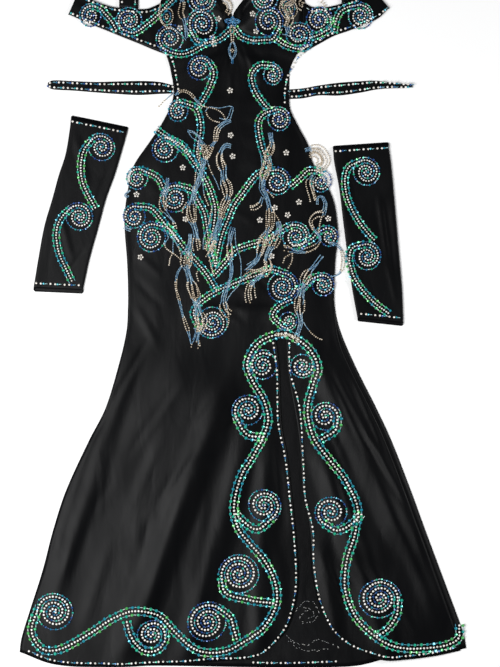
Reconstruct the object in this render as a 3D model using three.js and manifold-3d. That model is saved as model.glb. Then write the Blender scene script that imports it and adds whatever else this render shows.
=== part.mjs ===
// A belly dance costume laid flat: a long black dress with moulded cups, off-the-shoulder arm bands,
// shoulder straps, waist straps and bead fringe, and its pair of gauntlets beside it.
// Millimetres. +Y runs from the hem to the neckline, +X to the right as seen from above, +Z up.
// The origin lies under the middle of the whole set, on the surface that the set lies on.
import * as THREE from "three";
import { mergeVertices } from "three/addons/utils/BufferGeometryUtils.js";
import Module from "manifold-3d";

const wasm = await Module();
wasm.setup();

// Cloth and seams
const CLOTH = 1.2;
const SEAM = 0.3;
const LAYER = CLOTH + SEAM;

// Overall places
const STRAP_TOP = 695;
const CENTRE_FRONT = -20.5;
const SLIT_TOP = -56;
const HEM_LEVEL = -680;
const BACK_TOP = 386;
const BACK_TOP_DIP = 26;
const CORNER = 20;

// Cups: a foam dome inside a flat seam allowance
const CUP_X = -92;
const CUP_Y = 582;
const CUP_RADIUS = 59;
const CUP_HEIGHT = 33;
const FOAM = 4;
const CUP_RISE_RIGHT = 8;
const CUP_RISE_FROM = 10;
const CUP_RISE_TO = 60;
const CUP_COLUMNS = 26;
const CUP_DOME_RINGS = [0, 0.25, 0.48, 0.7, 0.87, 1];
const CUP_ALLOWANCE_RINGS = [0.5, 1];

// The outline of the dress, seen from above, at levels from the waist to the hem
const SIDES = [
  { y: 499, left: -150, right: 115.5 },
  { y: 480, left: -144, right: 104 },
  { y: 455, left: -139, right: 94 },
  { y: 433, left: -135, right: 90 },
  { y: 412, left: -137, right: 90 },
  { y: 392, left: -144, right: 92 },
  { y: 357, left: -163, right: 109 },
  { y: 325, left: -185, right: 126 },
  { y: 283, left: -213, right: 138 },
  { y: 248, left: -222, right: 162 },
  { y: 213, left: -228, right: 177 },
  { y: 180, left: -231, right: 183 },
  { y: 150, left: -230, right: 185 },
  { y: 100, left: -226, right: 180 },
  { y: 50, left: -224, right: 178 },
  { y: 10, left: -224, right: 178.5 },
  { y: -40, left: -227, right: 190 },
  { y: -110, left: -243, right: 220 },
  { y: -190, left: -268, right: 260 },
  { y: -250, left: -299, right: 288 },
  { y: -350, left: -345, right: 327 },
  { y: -430, left: -371, right: 356 },
  { y: -500, left: -389, right: 381 },
  { y: -590, left: -415, right: 411 },
  { y: -655, left: -432, right: 431 },
  { y: -680, left: -435, right: 435 },
];

// The two edges of the front slit, which flares like a tulip at the hem
const SLIT = [
  { y: -56, left: 64, right: 84 },
  { y: -117, left: 71, right: 87 },
  { y: -222, left: 75, right: 105 },
  { y: -278, left: 86, right: 111 },
  { y: -355, left: 95, right: 116 },
  { y: -424, left: 102, right: 129 },
  { y: -487, left: 107, right: 132 },
  { y: -535, left: 108, right: 138 },
  { y: -584, left: 100, right: 152 },
  { y: -619, left: 87, right: 172 },
  { y: -645, left: 66, right: 199 },
  { y: -664, left: 40, right: 230 },
  { y: -680, left: 12, right: 252 },
];

// The underbust seam along the top of the front panel
const TOP_EDGE = [
  { x: -152, y: 497 },
  { x: -117, y: 505 },
  { x: -74, y: 522 },
  { x: -28, y: 542 },
  { x: -20, y: 547 },
  { x: -10, y: 543 },
  { x: 18, y: 525 },
  { x: 48, y: 526 },
  { x: 78, y: 519 },
  { x: 98, y: 513 },
  { x: 116, y: 505 },
];

// The hem of the front and of the back, from side to side
const HEM = [
  { x: -435, front: -664, back: -662 },
  { x: -370, front: -687, back: -685 },
  { x: -285, front: -693, back: -692 },
  { x: -180, front: -690, back: -691 },
  { x: -84, front: -684, back: -692 },
  { x: 12, front: -679, back: -694 },
  { x: 100, front: -679, back: -695 },
  { x: 222, front: -672, back: -691 },
  { x: 286, front: -680, back: -676 },
  { x: 370, front: -672, back: -669 },
  { x: 435, front: -659, back: -657 },
];

// Soft folds of the front: a ridge from one place to another, its half width and its height
const FOLDS = [
  { x1: -60, y1: -40, x2: -215, y2: -700, half: 150, height: 7 },
  { x1: -90, y1: -70, x2: -330, y2: -430, half: 45, height: 2 },
  { x1: -20, y1: -110, x2: -260, y2: -740, half: 40, height: 9 },
  { x1: 20, y1: -190, x2: -130, y2: -740, half: 36, height: 7 },
  { x1: 48, y1: -200, x2: 25, y2: -740, half: 28, height: 5 },
  { x1: -200, y1: -20, x2: -385, y2: -600, half: 36, height: 6 },
  { x1: 120, y1: -40, x2: 330, y2: -500, half: 32, height: 6 },
  { x1: 140, y1: -240, x2: 305, y2: -740, half: 34, height: 8 },
  { x1: 165, y1: -60, x2: 395, y2: -640, half: 26, height: 5 },
  { x1: 145, y1: -430, x2: 200, y2: -740, half: 24, height: 5 },
  { x1: -110, y1: 5, x2: 100, y2: -5, half: 20, height: 3 },
  { x1: -24, y1: 530, x2: -72, y2: 440, half: 18, height: 3 },
  { x1: -14, y1: 530, x2: 44, y2: 440, half: 18, height: 3 },
];
const SKIRT_LOFT = 3;
const LOFT_MARGIN = 60;
const FOLD_RISE = 0.2;

// The lattice of the front panel: columns left and right of the slit, and its rows
const LEFT_COLUMNS = 12;
const RIGHT_COLUMNS = 8;
const TOP_DEPTHS = [0, 14, 30, 50];
const BODY_LEVELS = [
  430, 404, 385, 357, 325, 290, 255, 215, 175, 135, 90, 45, 0, -30, SLIT_TOP,
];
const SKIRT_LEVELS = [
  -100, -150, -200, -250, -305, -360, -415, -470, -525, -570, -605, -635, -660, HEM_LEVEL,
];
const SEAM_INSET = 12;

// Half of the cup outline, from the centre front round over the top to the underbust
const CUP_OUTLINE = [
  { x: -21.4, y: 542 },
  { x: -21.4, y: 554 },
  { x: -21.4, y: 568 },
  { x: -22.4, y: 580 },
  { x: -34, y: 597 },
  { x: -48, y: 613 },
  { x: -66, y: 634 },
  { x: -92, y: 646 },
  { x: -122, y: 643 },
  { x: -147, y: 628 },
  { x: -160, y: 605 },
  { x: -163, y: 560 },
  { x: -160, y: 520 },
  { x: -153, y: 503 },
  { x: -117, y: 499 },
  { x: -74, y: 516 },
  { x: -40, y: 531 },
];

// Arm bands, from the cup to the outer fold: the ends of each crosswise line
const ARM_BAND_LEFT = [
  { topX: -157, topY: 603, lowX: -152, lowY: 500.5 },
  { topX: -168, topY: 596, lowX: -172, lowY: 508 },
  { topX: -190, topY: 588, lowX: -200, lowY: 520 },
  { topX: -222, topY: 589, lowX: -230, lowY: 532 },
  { topX: -250, topY: 591, lowX: -262, lowY: 545 },
  { topX: -275, topY: 598, lowX: -292, lowY: 557 },
  { topX: -300, topY: 608, lowX: -318, lowY: 568 },
  { topX: -324, topY: 616, lowX: -341, lowY: 577 },
];
const ARM_BAND_RIGHT = [
  { topX: 116, topY: 603, lowX: 116, lowY: 500 },
  { topX: 135, topY: 592, lowX: 129, lowY: 509.5 },
  { topX: 158, topY: 591, lowX: 151, lowY: 522 },
  { topX: 184, topY: 596, lowX: 177, lowY: 536 },
  { topX: 207, topY: 604, lowX: 203, lowY: 545 },
  { topX: 228, topY: 612, lowX: 232, lowY: 556 },
  { topX: 245, topY: 618, lowX: 265, lowY: 571 },
  { topX: 259, topY: 621, lowX: 286, lowY: 589 },
];
const BAND_LOFT = 2.5;
const BAND_ROWS = 5;

// Shoulder straps: where they leave the arm band
const STRAP_LEFT = { from: -241, to: -204 };
const STRAP_RIGHT = { from: 192, to: 229 };
const STRAP_ROWS = 5;

// Waist straps: top and lower edge along the strap, and how thick it lies
const WAIST_STRAP_LEFT = [
  { x: -136.7, top: 440, low: 424, thick: 2 },
  { x: -163, top: 446.5, low: 423, thick: 2 },
  { x: -203, top: 448.5, low: 421, thick: 2.4 },
  { x: -245, top: 447.5, low: 423, thick: 2.2 },
  { x: -287, top: 446.5, low: 426, thick: 2 },
  { x: -330, top: 448, low: 429.5, thick: 2 },
  { x: -371, top: 449.5, low: 432, thick: 2 },
  { x: -380, top: 445.5, low: 436, thick: 2 },
];
const WAIST_STRAP_RIGHT = [
  { x: 90.7, top: 432, low: 413, thick: 2 },
  { x: 116, top: 434, low: 414.5, thick: 2 },
  { x: 147, top: 439.5, low: 420, thick: 2.2 },
  { x: 188, top: 445, low: 420, thick: 2.6 },
  { x: 231, top: 448, low: 426, thick: 2.8 },
  { x: 256, top: 449, low: 431, thick: 3.4 },
  { x: 278, top: 446.5, low: 433.5, thick: 4.4 },
  { x: 312, top: 442.5, low: 434.5, thick: 5 },
  { x: 330, top: 440.5, low: 435.5, thick: 3.6 },
];

// Gauntlets: both folded sides from the upper opening to the wrist, and how far an end slants
const GAUNTLET_LEFT = {
  sides: [
    { y: 376, left: -335, right: -220 },
    { y: 350, left: -338, right: -225 },
    { y: 304, left: -346, right: -238 },
    { y: 264, left: -359, right: -250 },
    { y: 220, left: -371, right: -266 },
    { y: 165, left: -387, right: -281 },
    { y: 100, left: -399, right: -299 },
    { y: 45, left: -408, right: -311 },
  ],
  topSlant: -22,
  wristSlant: -4,
  backTop: 5,
  backWrist: 7,
};
const GAUNTLET_RIGHT = {
  sides: [
    { y: 318, left: 175, right: 284 },
    { y: 290, left: 177.5, right: 288 },
    { y: 240, left: 187, right: 293 },
    { y: 170, left: 195.5, right: 299 },
    { y: 100, left: 204.5, right: 305 },
    { y: 40, left: 213, right: 310 },
    { y: -14, left: 223, right: 312 },
  ],
  topSlant: 7,
  wristSlant: -9,
  backTop: 4,
  backWrist: 6,
};
const GAUNTLET_ROWS = 12;
const GAUNTLET_LOFT = 2.6;
const FOLD_ACROSS = 5;
const LAYER_COLUMNS = 6;

// Bead fringe: bundles of strands, each from the strip that carries it along a route of places
const STRAND_WIDTH = 2.2;
const STRAND_HEIGHT = 2;
const STRAND_CLEARANCE = 0.5;
const STRAND_STEP = 21;
const FEELERS = 4;
const FEELER_REACH = 1.5;
const STRIP_LENGTH = 7;
const STRIP_HEIGHT = 1.6;
const FRINGE = [
  { name: "fringe_left_long", strands: 4, pitch: 3.4, fan: 1.1,
    route: [[-82, 328], [-78, 316], [-74, 299], [-78, 279], [-89, 250], [-96, 227], [-101, 205],
      [-99, 179], [-92, 156], [-88, 139], [-86, 127]] },
  { name: "fringe_left_upper", strands: 3, pitch: 3.4, fan: 1.1,
    route: [[-24, 370], [-36, 365], [-48, 355], [-52, 344], [-54, 332], [-58, 322]] },
  { name: "fringe_centre", strands: 5, pitch: 3.4, fan: 1.1,
    route: [[-24, 321], [-33, 320], [-42, 311], [-45, 295], [-38, 276], [-36, 256], [-30, 237],
      [-31, 218], [-39, 202], [-45, 179], [-52, 156], [-59, 140], [-65, 121], [-67, 105]] },
  { name: "fringe_left_lower", strands: 5, pitch: 3.4, fan: 1.2,
    route: [[-107, 132], [-108, 111], [-109, 92], [-105, 72], [-100, 53], [-95, 33], [-90, 14],
      [-85, -5], [-82, -22], [-88, -44], [-94, -73]] },
  { name: "fringe_middle", strands: 4, pitch: 3.6, fan: 1.2,
    route: [[-19, 162], [-24, 147], [-27, 127], [-26, 105], [-22, 82], [-26, 59], [-33, 40],
      [-38, 20], [-34, 1], [-23, -9]] },
  { name: "fringe_right_long", strands: 5, pitch: 3.4, fan: 1.2,
    route: [[53, 346], [55, 324], [47, 305], [48, 286], [41, 263], [38, 240], [46, 224], [50, 205],
      [52, 185], [50, 163], [46, 138], [47, 108], [46, 82], [30, 64], [17, 52], [13, 36], [18, 16]] },
  { name: "fringe_right_hip", strands: 3, pitch: 3.4, fan: 1,
    route: [[156, 221], [160, 207], [154, 193], [142, 187], [132, 176], [136, 161], [146, 148],
      [142, 128], [125, 118], [106, 117], [88, 121]] },
  { name: "fringe_right_spiral", strands: 4, pitch: 3.4, fan: 1.1,
    route: [[136, 263], [130, 250], [133, 235], [139, 215]] },
  { name: "fringe_right_lower", strands: 5, pitch: 3.4, fan: 1.1,
    route: [[153, 107], [142, 92], [127, 74], [118, 56], [113, 37], [109, 17], [109, -2], [112, -22],
      [107, -41], [103, -60]] },
  { name: "fringe_left_spiral", strands: 3, pitch: 3.4, fan: 1.1,
    route: [[-147, 258], [-148, 240], [-155, 221], [-155, 203], [-146, 188], [-135, 174], [-129, 160]] },
  { name: "fringe_left_hip", strands: 3, pitch: 3.4, fan: 1,
    route: [[-150, 152], [-146, 138], [-145, 124], [-138, 114], [-127, 107]] },
  { name: "fringe_left_waist", strands: 3, pitch: 3, fan: 1,
    route: [[-130, 421], [-120, 427], [-107, 426], [-94, 413], [-83, 401]] },
  { name: "fringe_cup_left", strands: 4, pitch: 3.4, fan: 1, step: 10,
    route: [[-119, 605], [-116, 592], [-116, 577], [-112, 562], [-110, 547], [-109, 531]] },
  { name: "fringe_cup_right", strands: 4, pitch: 3.4, fan: 1, step: 10,
    route: [[91, 603], [84, 588], [87, 569], [86, 553], [89, 538]] },
  { name: "fringe_hip_loop_right", strands: 4, pitch: 3.6, fan: 1,
    route: [[118, 318], [136, 322], [156, 318], [164, 302], [152, 286], [132, 284]] },
  { name: "fringe_side_loop_right", strands: 2, pitch: 4, fan: 1,
    route: [[168, 132], [182, 128], [193, 112], [194, 90], [186, 72], [168, 66]] },
];

// The bow at the centre front and the drop below it
const BOW_Y = 563;
const BOW_LOBE = { long: 8, wide: 5, thick: 2.4, out: 7 };
const DROP_STEM = { wide: 3, from: 562, to: 520 };
const DROP_RING = { y: 507, halfWide: 7.5, halfLong: 15, band: 3 };
const DROP_TIP = 486;
const DROP_THICK = 3;

// Finishes
const BLACK_SATIN = { color: 0x0d0e12, roughness: 0.46, metalness: 0 };
const BLACK_FOAM = { color: 0x101116, roughness: 0.5, metalness: 0 };
const BEADS = { color: 0x9fb4c4, roughness: 0.25, metalness: 0.2 };
const BLUE_BEADS = { color: 0x5f9fd0, roughness: 0.25, metalness: 0.1 };

const { clamp, lerp, smoothstep } = THREE.MathUtils;

// A smooth curve through a table: the value of one column at any place along another.
function curveThrough(rows, along, column) {
  const sorted = [...rows].sort((a, b) => a[along] - b[along]);
  const at = sorted.map((row) => row[along]);
  const value = sorted.map((row) => row[column]);
  const last = at.length - 1;
  const slope = at.map((_, i) => {
    const before = Math.max(i - 1, 0);
    const after = Math.min(i + 1, last);
    return (value[after] - value[before]) / (at[after] - at[before]);
  });
  return (place) => {
    const here = clamp(place, at[0], at[last]);
    const i = clamp(at.findIndex((a) => a > here) - 1, 0, last - 1);
    const k = here >= at[last] ? last - 1 : i;
    const span = at[k + 1] - at[k];
    const t = (here - at[k]) / span;
    const ease = t * t * (3 - 2 * t);
    const lean = t * (1 - t) * ((1 - t) * slope[k] - t * slope[k + 1]) * span;
    return lerp(value[k], value[k + 1], ease) + lean;
  };
}

// Straight lines through a table, for edges that other pieces are sewn along.
function linesThrough(rows, along, column) {
  const sorted = [...rows].sort((a, b) => a[along] - b[along]);
  return (place) => {
    const found = sorted.findIndex((row) => row[along] >= place);
    const i = clamp(found, 1, sorted.length - 1);
    const from = sorted[i - 1];
    const to = sorted[i];
    const t = (place - from[along]) / (to[along] - from[along]);
    return lerp(from[column], to[column], t);
  };
}

const leftSide = curveThrough(SIDES, "y", "left");
const rightSide = curveThrough(SIDES, "y", "right");
const slitLeft = curveThrough(SLIT, "y", "left");
const slitRight = curveThrough(SLIT, "y", "right");
const topEdge = curveThrough(TOP_EDGE, "x", "y");
const frontHem = curveThrough(HEM, "x", "front");
const backHem = curveThrough(HEM, "x", "back");

// One closed body with its faces pointing out, from corners and triangles.
function closedBody(corners, triangles) {
  const positions = new Float32Array(corners.flatMap((p) => [p.x, p.y, p.z]));
  const geometry = new THREE.BufferGeometry();
  geometry.setAttribute("position", new THREE.BufferAttribute(positions, 3));
  geometry.setIndex(triangles.flat());
  const merged = mergeVertices(geometry, 1e-3);
  const kept = [];
  for (let i = 0; i < merged.index.count; i += 3) {
    const [a, b, c] = [0, 1, 2].map((k) => merged.index.getX(i + k));
    if (a !== b && b !== c && c !== a) kept.push([a, b, c]);
  }
  const corner = (i) => new THREE.Vector3().fromBufferAttribute(merged.attributes.position, i);
  const volume = kept.reduce((sum, [a, b, c]) => sum + corner(a).dot(corner(b).cross(corner(c))), 0);
  const facingOut = volume < 0 ? kept.map(([a, b, c]) => [a, c, b]) : kept;
  merged.setIndex(facingOut.flat());
  merged.computeVertexNormals();
  return merged;
}

// A closed body between two lattices of corners, without the cells that are left out.
function sheetBetween(over, under, { joined = false, leftOut = () => false } = {}) {
  const rows = over.length;
  const columns = over[0].length;
  const cells = joined ? columns : columns - 1;
  const index = (row, column, side) => (side * rows + row) * columns + (column % columns);
  const has = (row, column) => {
    const c = joined ? (column + columns) % columns : column;
    return row >= 0 && row < rows - 1 && c >= 0 && c < cells && !leftOut(row, c);
  };
  const triangles = [];
  const quad = (a, b, c, d) => triangles.push([a, b, c], [a, c, d]);
  for (let row = 0; row < rows - 1; row += 1) {
    for (let column = 0; column < cells; column += 1) {
      if (!has(row, column)) continue;
      const round = [[row, column], [row + 1, column], [row + 1, column + 1], [row, column + 1]];
      const upper = round.map(([r, c]) => index(r, c, 0));
      const lower = round.map(([r, c]) => index(r, c, 1));
      quad(...upper);
      quad(lower[0], lower[3], lower[2], lower[1]);
      const beside = [[row, column - 1], [row + 1, column], [row, column + 1], [row - 1, column]];
      beside.forEach(([r, c], k) => {
        const next = (k + 1) % 4;
        if (!has(r, c)) quad(upper[k], lower[k], lower[next], upper[next]);
      });
    }
  }
  return closedBody([...over.flat(), ...under.flat()], triangles);
}

// A wall about a lattice of middle points, as thick as it is told at each of them.
function wall(points, thickness, options = {}) {
  const rows = points.length;
  const columns = points[0].length;
  const thick = typeof thickness === "function" ? thickness : () => thickness;
  const beside = (column, step) => {
    if (options.joined) return (column + step + columns) % columns;
    return clamp(column + step, 0, columns - 1);
  };
  const moved = (side) =>
    points.map((line, row) =>
      line.map((point, column) => {
        const down = points[Math.min(row + 1, rows - 1)][column]
          .clone()
          .sub(points[Math.max(row - 1, 0)][column]);
        const across = line[beside(column, 1)].clone().sub(line[beside(column, -1)]);
        const out = down.cross(across).normalize();
        return point.clone().addScaledVector(out, (side * thick(row, column)) / 2);
      }),
    );
  return sheetBetween(moved(1), moved(-1), options);
}

// Height of the soft folds above the layer below.
function foldsAt(x, y) {
  return FOLDS.reduce((sum, fold) => {
    const alongX = fold.x2 - fold.x1;
    const alongY = fold.y2 - fold.y1;
    const length = Math.hypot(alongX, alongY);
    const s = ((x - fold.x1) * alongX + (y - fold.y1) * alongY) / length ** 2;
    const aside = Math.abs((x - fold.x1) * alongY - (y - fold.y1) * alongX) / length;
    if (s < 0 || s > 1 || aside > fold.half) return sum;
    const ends = smoothstep(s, 0, FOLD_RISE) * smoothstep(1 - s, 0, FOLD_RISE);
    const across = Math.cos((aside / fold.half) * (Math.PI / 2)) ** 2;
    return sum + fold.height * ends * across;
  }, 0);
}

// The front rises a little from its side seams and from the edges of the slit.
function loftAt(x, y, left, right) {
  const fromSides = Math.min(x - left, right - x) / LOFT_MARGIN;
  const toSlit = Math.min(Math.abs(x - slitLeft(y)), Math.abs(x - slitRight(y)));
  const fromSlit = y < SLIT_TOP ? toSlit : LOFT_MARGIN;
  return SKIRT_LOFT * smoothstep(fromSides, 0, 1) * smoothstep(fromSlit / LOFT_MARGIN, -0.4, 1);
}

// The front panel lies on the back skirt below the waist, and on the cups' seam allowance at its top.
function layerUnder(y, depth) {
  const onBack = 1 - smoothstep(y, BACK_TOP + 17, BACK_TOP + 44);
  const onCups = 1 - smoothstep(depth, TOP_DEPTHS[1], TOP_DEPTHS[2]);
  return LAYER * Math.max(onBack, onCups);
}

// Rows of the front panel, each as its two side points and the line between them.
function frontPoints() {
  const seamSide = (y) => rightSide(y) - SEAM_INSET * (1 - smoothstep(y, -90, 20));
  const slitColumn = LEFT_COLUMNS;
  const columns = LEFT_COLUMNS + 1 + RIGHT_COLUMNS;
  const atSlitTop = (x) => (x - leftSide(SLIT_TOP)) / (seamSide(SLIT_TOP) - leftSide(SLIT_TOP));
  const slitLeftShare = atSlitTop(slitLeft(SLIT_TOP));
  const slitRightShare = atSlitTop(slitRight(SLIT_TOP));
  const shareAtSlit = (i) => {
    if (i <= slitColumn) return (slitLeftShare * i) / LEFT_COLUMNS;
    return lerp(slitRightShare, 1, (i - slitColumn - 1) / RIGHT_COLUMNS);
  };
  const across = Array.from({ length: columns + 1 }, (_, i) => i);
  const topRows = TOP_DEPTHS.map((depth) => {
    const left = leftSide(TOP_EDGE[0].y - depth);
    const right = seamSide(TOP_EDGE.at(-1).y - depth) - 1;
    return across.map((i) => {
      const x = lerp(left, right, i / columns);
      const y = topEdge(x) - depth;
      const loft = loftAt(x, y, left, right) * smoothstep(depth, TOP_DEPTHS[1], TOP_DEPTHS[3]);
      const z = layerUnder(y, depth) + loft + foldsAt(x, y);
      return new THREE.Vector3(x, y, z + CLOTH / 2);
    });
  });
  const bodyRows = BODY_LEVELS.map((y) => {
    const left = leftSide(y);
    const right = seamSide(y);
    const towardsSlit = 1 - smoothstep(y, SLIT_TOP, 300);
    return across.map((i) => {
      const x = lerp(left, right, lerp(i / columns, shareAtSlit(i), towardsSlit));
      const z = layerUnder(y, LOFT_MARGIN) + loftAt(x, y, left, right) + foldsAt(x, y);
      return new THREE.Vector3(x, y, z + CLOTH / 2);
    });
  });
  const skirtRows = SKIRT_LEVELS.map((level) => {
    const left = leftSide(level);
    const right = seamSide(level);
    const toHem = smoothstep(-level, -SLIT_TOP, -HEM_LEVEL) ** 2;
    return across.map((i) => {
      const x = i <= slitColumn
        ? lerp(left, slitLeft(level), i / LEFT_COLUMNS)
        : lerp(slitRight(level), right, (i - slitColumn - 1) / RIGHT_COLUMNS);
      const y = level + (frontHem(x) - HEM_LEVEL) * toHem;
      const z = LAYER + loftAt(x, y, left, right) + foldsAt(x, y);
      return new THREE.Vector3(x, y, z + CLOTH / 2);
    });
  });
  return [...topRows, ...bodyRows, ...skirtRows];
}

function frontPanel() {
  const firstSlitRow = TOP_DEPTHS.length + BODY_LEVELS.length - 1;
  return wall(frontPoints(), CLOTH, {
    leftOut: (row, column) => row >= firstSlitRow && column === LEFT_COLUMNS,
  });
}

// The back skirt lies flat under the front; it starts at the low back and shows in the slit.
function backSkirt() {
  const fromCorners = (y) => y < BACK_TOP - CORNER && y > HEM[0].back + CORNER;
  const levels = [...BODY_LEVELS, ...SKIRT_LEVELS].filter(fromCorners);
  const down = levels.map((y) => new THREE.Vector2(leftSide(y), y));
  const hem = HEM.map((row) => new THREE.Vector2(row.x, row.back));
  const up = [...levels].reverse().map((y) => new THREE.Vector2(rightSide(y), y));
  const middle = (leftSide(BACK_TOP) + rightSide(BACK_TOP)) / 2;
  const top = [0, 0.25, 0.5, 0.75, 1].map((t) => {
    const x = lerp(rightSide(BACK_TOP) - 1, leftSide(BACK_TOP) + 1, t);
    const dip = BACK_TOP_DIP * Math.cos(((x - middle) / (rightSide(BACK_TOP) - middle)) * (Math.PI / 2));
    return new THREE.Vector2(x, BACK_TOP - dip);
  });
  const outline = new THREE.Shape([...down, ...hem, ...up, ...top]);
  const flat = new THREE.ExtrudeGeometry(outline, { depth: CLOTH, bevelEnabled: false });
  return tidied(flat);
}

// A stock geometry as corners and triangles only.
function tidied(geometry) {
  const plain = geometry.index ? geometry.toNonIndexed() : geometry;
  const corners = [];
  for (let i = 0; i < plain.attributes.position.count; i += 1) {
    corners.push(new THREE.Vector3().fromBufferAttribute(plain.attributes.position, i));
  }
  const triangles = [];
  for (let i = 0; i < corners.length; i += 3) triangles.push([i, i + 1, i + 2]);
  return closedBody(corners, triangles);
}

// A moulded cup: a foam dome open underneath, and the flat seam allowance round it.
function cup(mirrored) {
  const rise = mirrored ? CUP_RISE_RIGHT : 0;
  const place = (p) => {
    const aside = Math.abs(p.x - CENTRE_FRONT);
    const x = mirrored ? 2 * CENTRE_FRONT - p.x : p.x;
    return new THREE.Vector3(x, p.y + rise * smoothstep(aside, CUP_RISE_FROM, CUP_RISE_TO), p.z);
  };
  const loop = new THREE.CatmullRomCurve3(
    CUP_OUTLINE.map((p) => new THREE.Vector3(p.x, p.y, 0)),
    true,
    "centripetal",
  );
  const outline = loop.getSpacedPoints(CUP_COLUMNS).slice(0, CUP_COLUMNS);
  const ring = (radius, z) =>
    outline.map((edge) => {
      const angle = Math.atan2(edge.y - CUP_Y, edge.x - CUP_X);
      return new THREE.Vector3(CUP_X + radius * Math.cos(angle), CUP_Y + radius * Math.sin(angle), z);
    });
  const dome = (f) => Math.cos((f * Math.PI) / 2);
  const allowance = (share, z) =>
    ring(CUP_RADIUS, z).map((inner, i) => {
      const outer = new THREE.Vector3(outline[i].x, outline[i].y, z);
      return inner.lerp(outer, share);
    });
  const over = [
    ...CUP_DOME_RINGS.map((f) => ring(CUP_RADIUS * f, CLOTH + CUP_HEIGHT * dome(f))),
    ...CUP_ALLOWANCE_RINGS.map((share) => allowance(share, CLOTH)),
  ];
  const under = [
    ...CUP_DOME_RINGS.map((f) => ring((CUP_RADIUS - FOAM) * f, (CUP_HEIGHT + CLOTH - FOAM) * dome(f))),
    ...CUP_ALLOWANCE_RINGS.map((share) => allowance(share, 0)),
  ];
  const placed = (lattice) => lattice.map((line) => line.map(place));
  return sheetBetween(placed(over), placed(under), { joined: true });
}

// An arm band: a ring of cloth pressed flat, the near layer lying on the far one, folded at its end.
function armBand(rows) {
  const topX = rows.map((row) => row.topX);
  const outward = Math.sign(topX.at(-1) - topX[0]);
  const last = rows.length - 1;
  const turn = (LAYER + BAND_LOFT) / 2;
  const line = (row, z, reach) =>
    Array.from({ length: BAND_ROWS }, (_, k) => {
      const t = k / (BAND_ROWS - 1);
      const x = lerp(row.topX, row.lowX, t) + outward * reach;
      return new THREE.Vector3(x, lerp(row.topY, row.lowY, t), z);
    });
  const nearZ = (i) => LAYER + BAND_LOFT * smoothstep(i, 0, last) + CLOTH / 2;
  const near = rows.map((row, i) => line(row, nearZ(i), 0));
  const far = rows.slice(1, last).map((row) => line(row, CLOTH / 2, 0)).reverse();
  const drawnIn = turn + CLOTH;
  const end = [
    line(rows[last], nearZ(last), -drawnIn),
    line(rows[last], CLOTH / 2 + turn, turn - drawnIn),
    line(rows[last], CLOTH / 2, -drawnIn),
  ];
  return wall([...near.slice(0, last), ...end, ...far], CLOTH);
}

// A shoulder strap: up from the arm band, folded over at the top and back down beneath itself.
function shoulderStrap(place, rows) {
  const bandTop = linesThrough(rows, "topX", "topY");
  const across = [0, 0.5, 1].map((t) => lerp(place.from, place.to, t));
  const turn = LAYER / 2;
  const top = STRAP_TOP - turn - CLOTH / 2;
  const start = (x) => bandTop(x) + 2 * SEAM;
  const nearZ = LAYER + CLOTH / 2 + BAND_LOFT / 2;
  const near = Array.from({ length: STRAP_ROWS }, (_, i) => {
    const t = i / (STRAP_ROWS - 1);
    const z = lerp(nearZ, LAYER + CLOTH / 2, t);
    return across.map((x) => new THREE.Vector3(x, lerp(start(x), top, t), z));
  });
  const fold = across.map((x) => new THREE.Vector3(x, top + turn, CLOTH / 2 + turn));
  const far = Array.from({ length: STRAP_ROWS }, (_, i) => {
    const t = 1 - i / (STRAP_ROWS - 1);
    return across.map((x) => new THREE.Vector3(x, lerp(start(x), top, t), CLOTH / 2));
  });
  return wall([...near, fold, ...far], CLOTH);
}

// A waist strap lies flat; the right one is rolled thin towards its tip.
function waistStrap(rows) {
  const lines = rows.map((row) =>
    [0, 0.5, 1].map((t) => new THREE.Vector3(row.x, lerp(row.top, row.low, t), 0)),
  );
  const over = lines.map((line, i) => line.map((p) => p.clone().setZ(rows[i].thick)));
  return sheetBetween(over, lines);
}

// A gauntlet: a tube of cloth pressed flat, the far layer peeping out at both ends.
function gauntlet({ sides, topSlant, wristSlant, backTop, backWrist }) {
  const left = curveThrough(sides, "y", "left");
  const right = curveThrough(sides, "y", "right");
  const top = sides[0].y;
  const wrist = sides.at(-1).y;
  const nearHeight = LAYER + GAUNTLET_LOFT;
  const turn = nearHeight / 2;
  const across = Array.from({ length: LAYER_COLUMNS + 1 }, (_, i) => i / LAYER_COLUMNS);
  const section = [
    ...across.map((u) => ({ u, z: nearHeight, far: 0, reach: 0 })),
    { u: 1, z: turn, far: 0.5, reach: turn },
    ...[...across].reverse().map((u) => ({ u, z: 0, far: 1, reach: 0 })),
    { u: 0, z: turn, far: 0.5, reach: -turn },
  ];
  const points = Array.from({ length: GAUNTLET_ROWS }, (_, row) => {
    const v = row / (GAUNTLET_ROWS - 1);
    return section.map(({ u, z, far, reach }) => {
      const slant = lerp(topSlant, wristSlant, v) * u;
      const peep = far * lerp(backTop, -backWrist, v);
      const y = lerp(top, wrist, v) + slant + peep;
      const margin = turn + CLOTH / 2;
      const x = lerp(left(y) + margin, right(y) - margin, u) + reach;
      const dip = z === nearHeight ? GAUNTLET_LOFT * 0.5 * Math.sin(Math.PI * u) * Math.sin(5 * v) ** 2 : 0;
      return new THREE.Vector3(x, y, z - dip + CLOTH / 2);
    });
  });
  return wall(points, CLOTH, { joined: true });
}

const ray = new THREE.Raycaster();
const RAY_START = 200;
const DOWN = new THREE.Vector3(0, 0, -1);

// Height of the uppermost of some pieces at a place, or of the surface that the set lies on.
function heightOver(carriers, x, y) {
  ray.set(new THREE.Vector3(x, y, RAY_START), DOWN);
  const hit = ray.intersectObjects(carriers, false)[0];
  return hit ? hit.point.z : 0;
}

function solidOf(geometry) {
  return new wasm.Manifold(
    new wasm.Mesh({
      numProp: 3,
      vertProperties: geometry.attributes.position.array,
      triVerts: new Uint32Array(geometry.index.array),
    }),
  );
}

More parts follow.
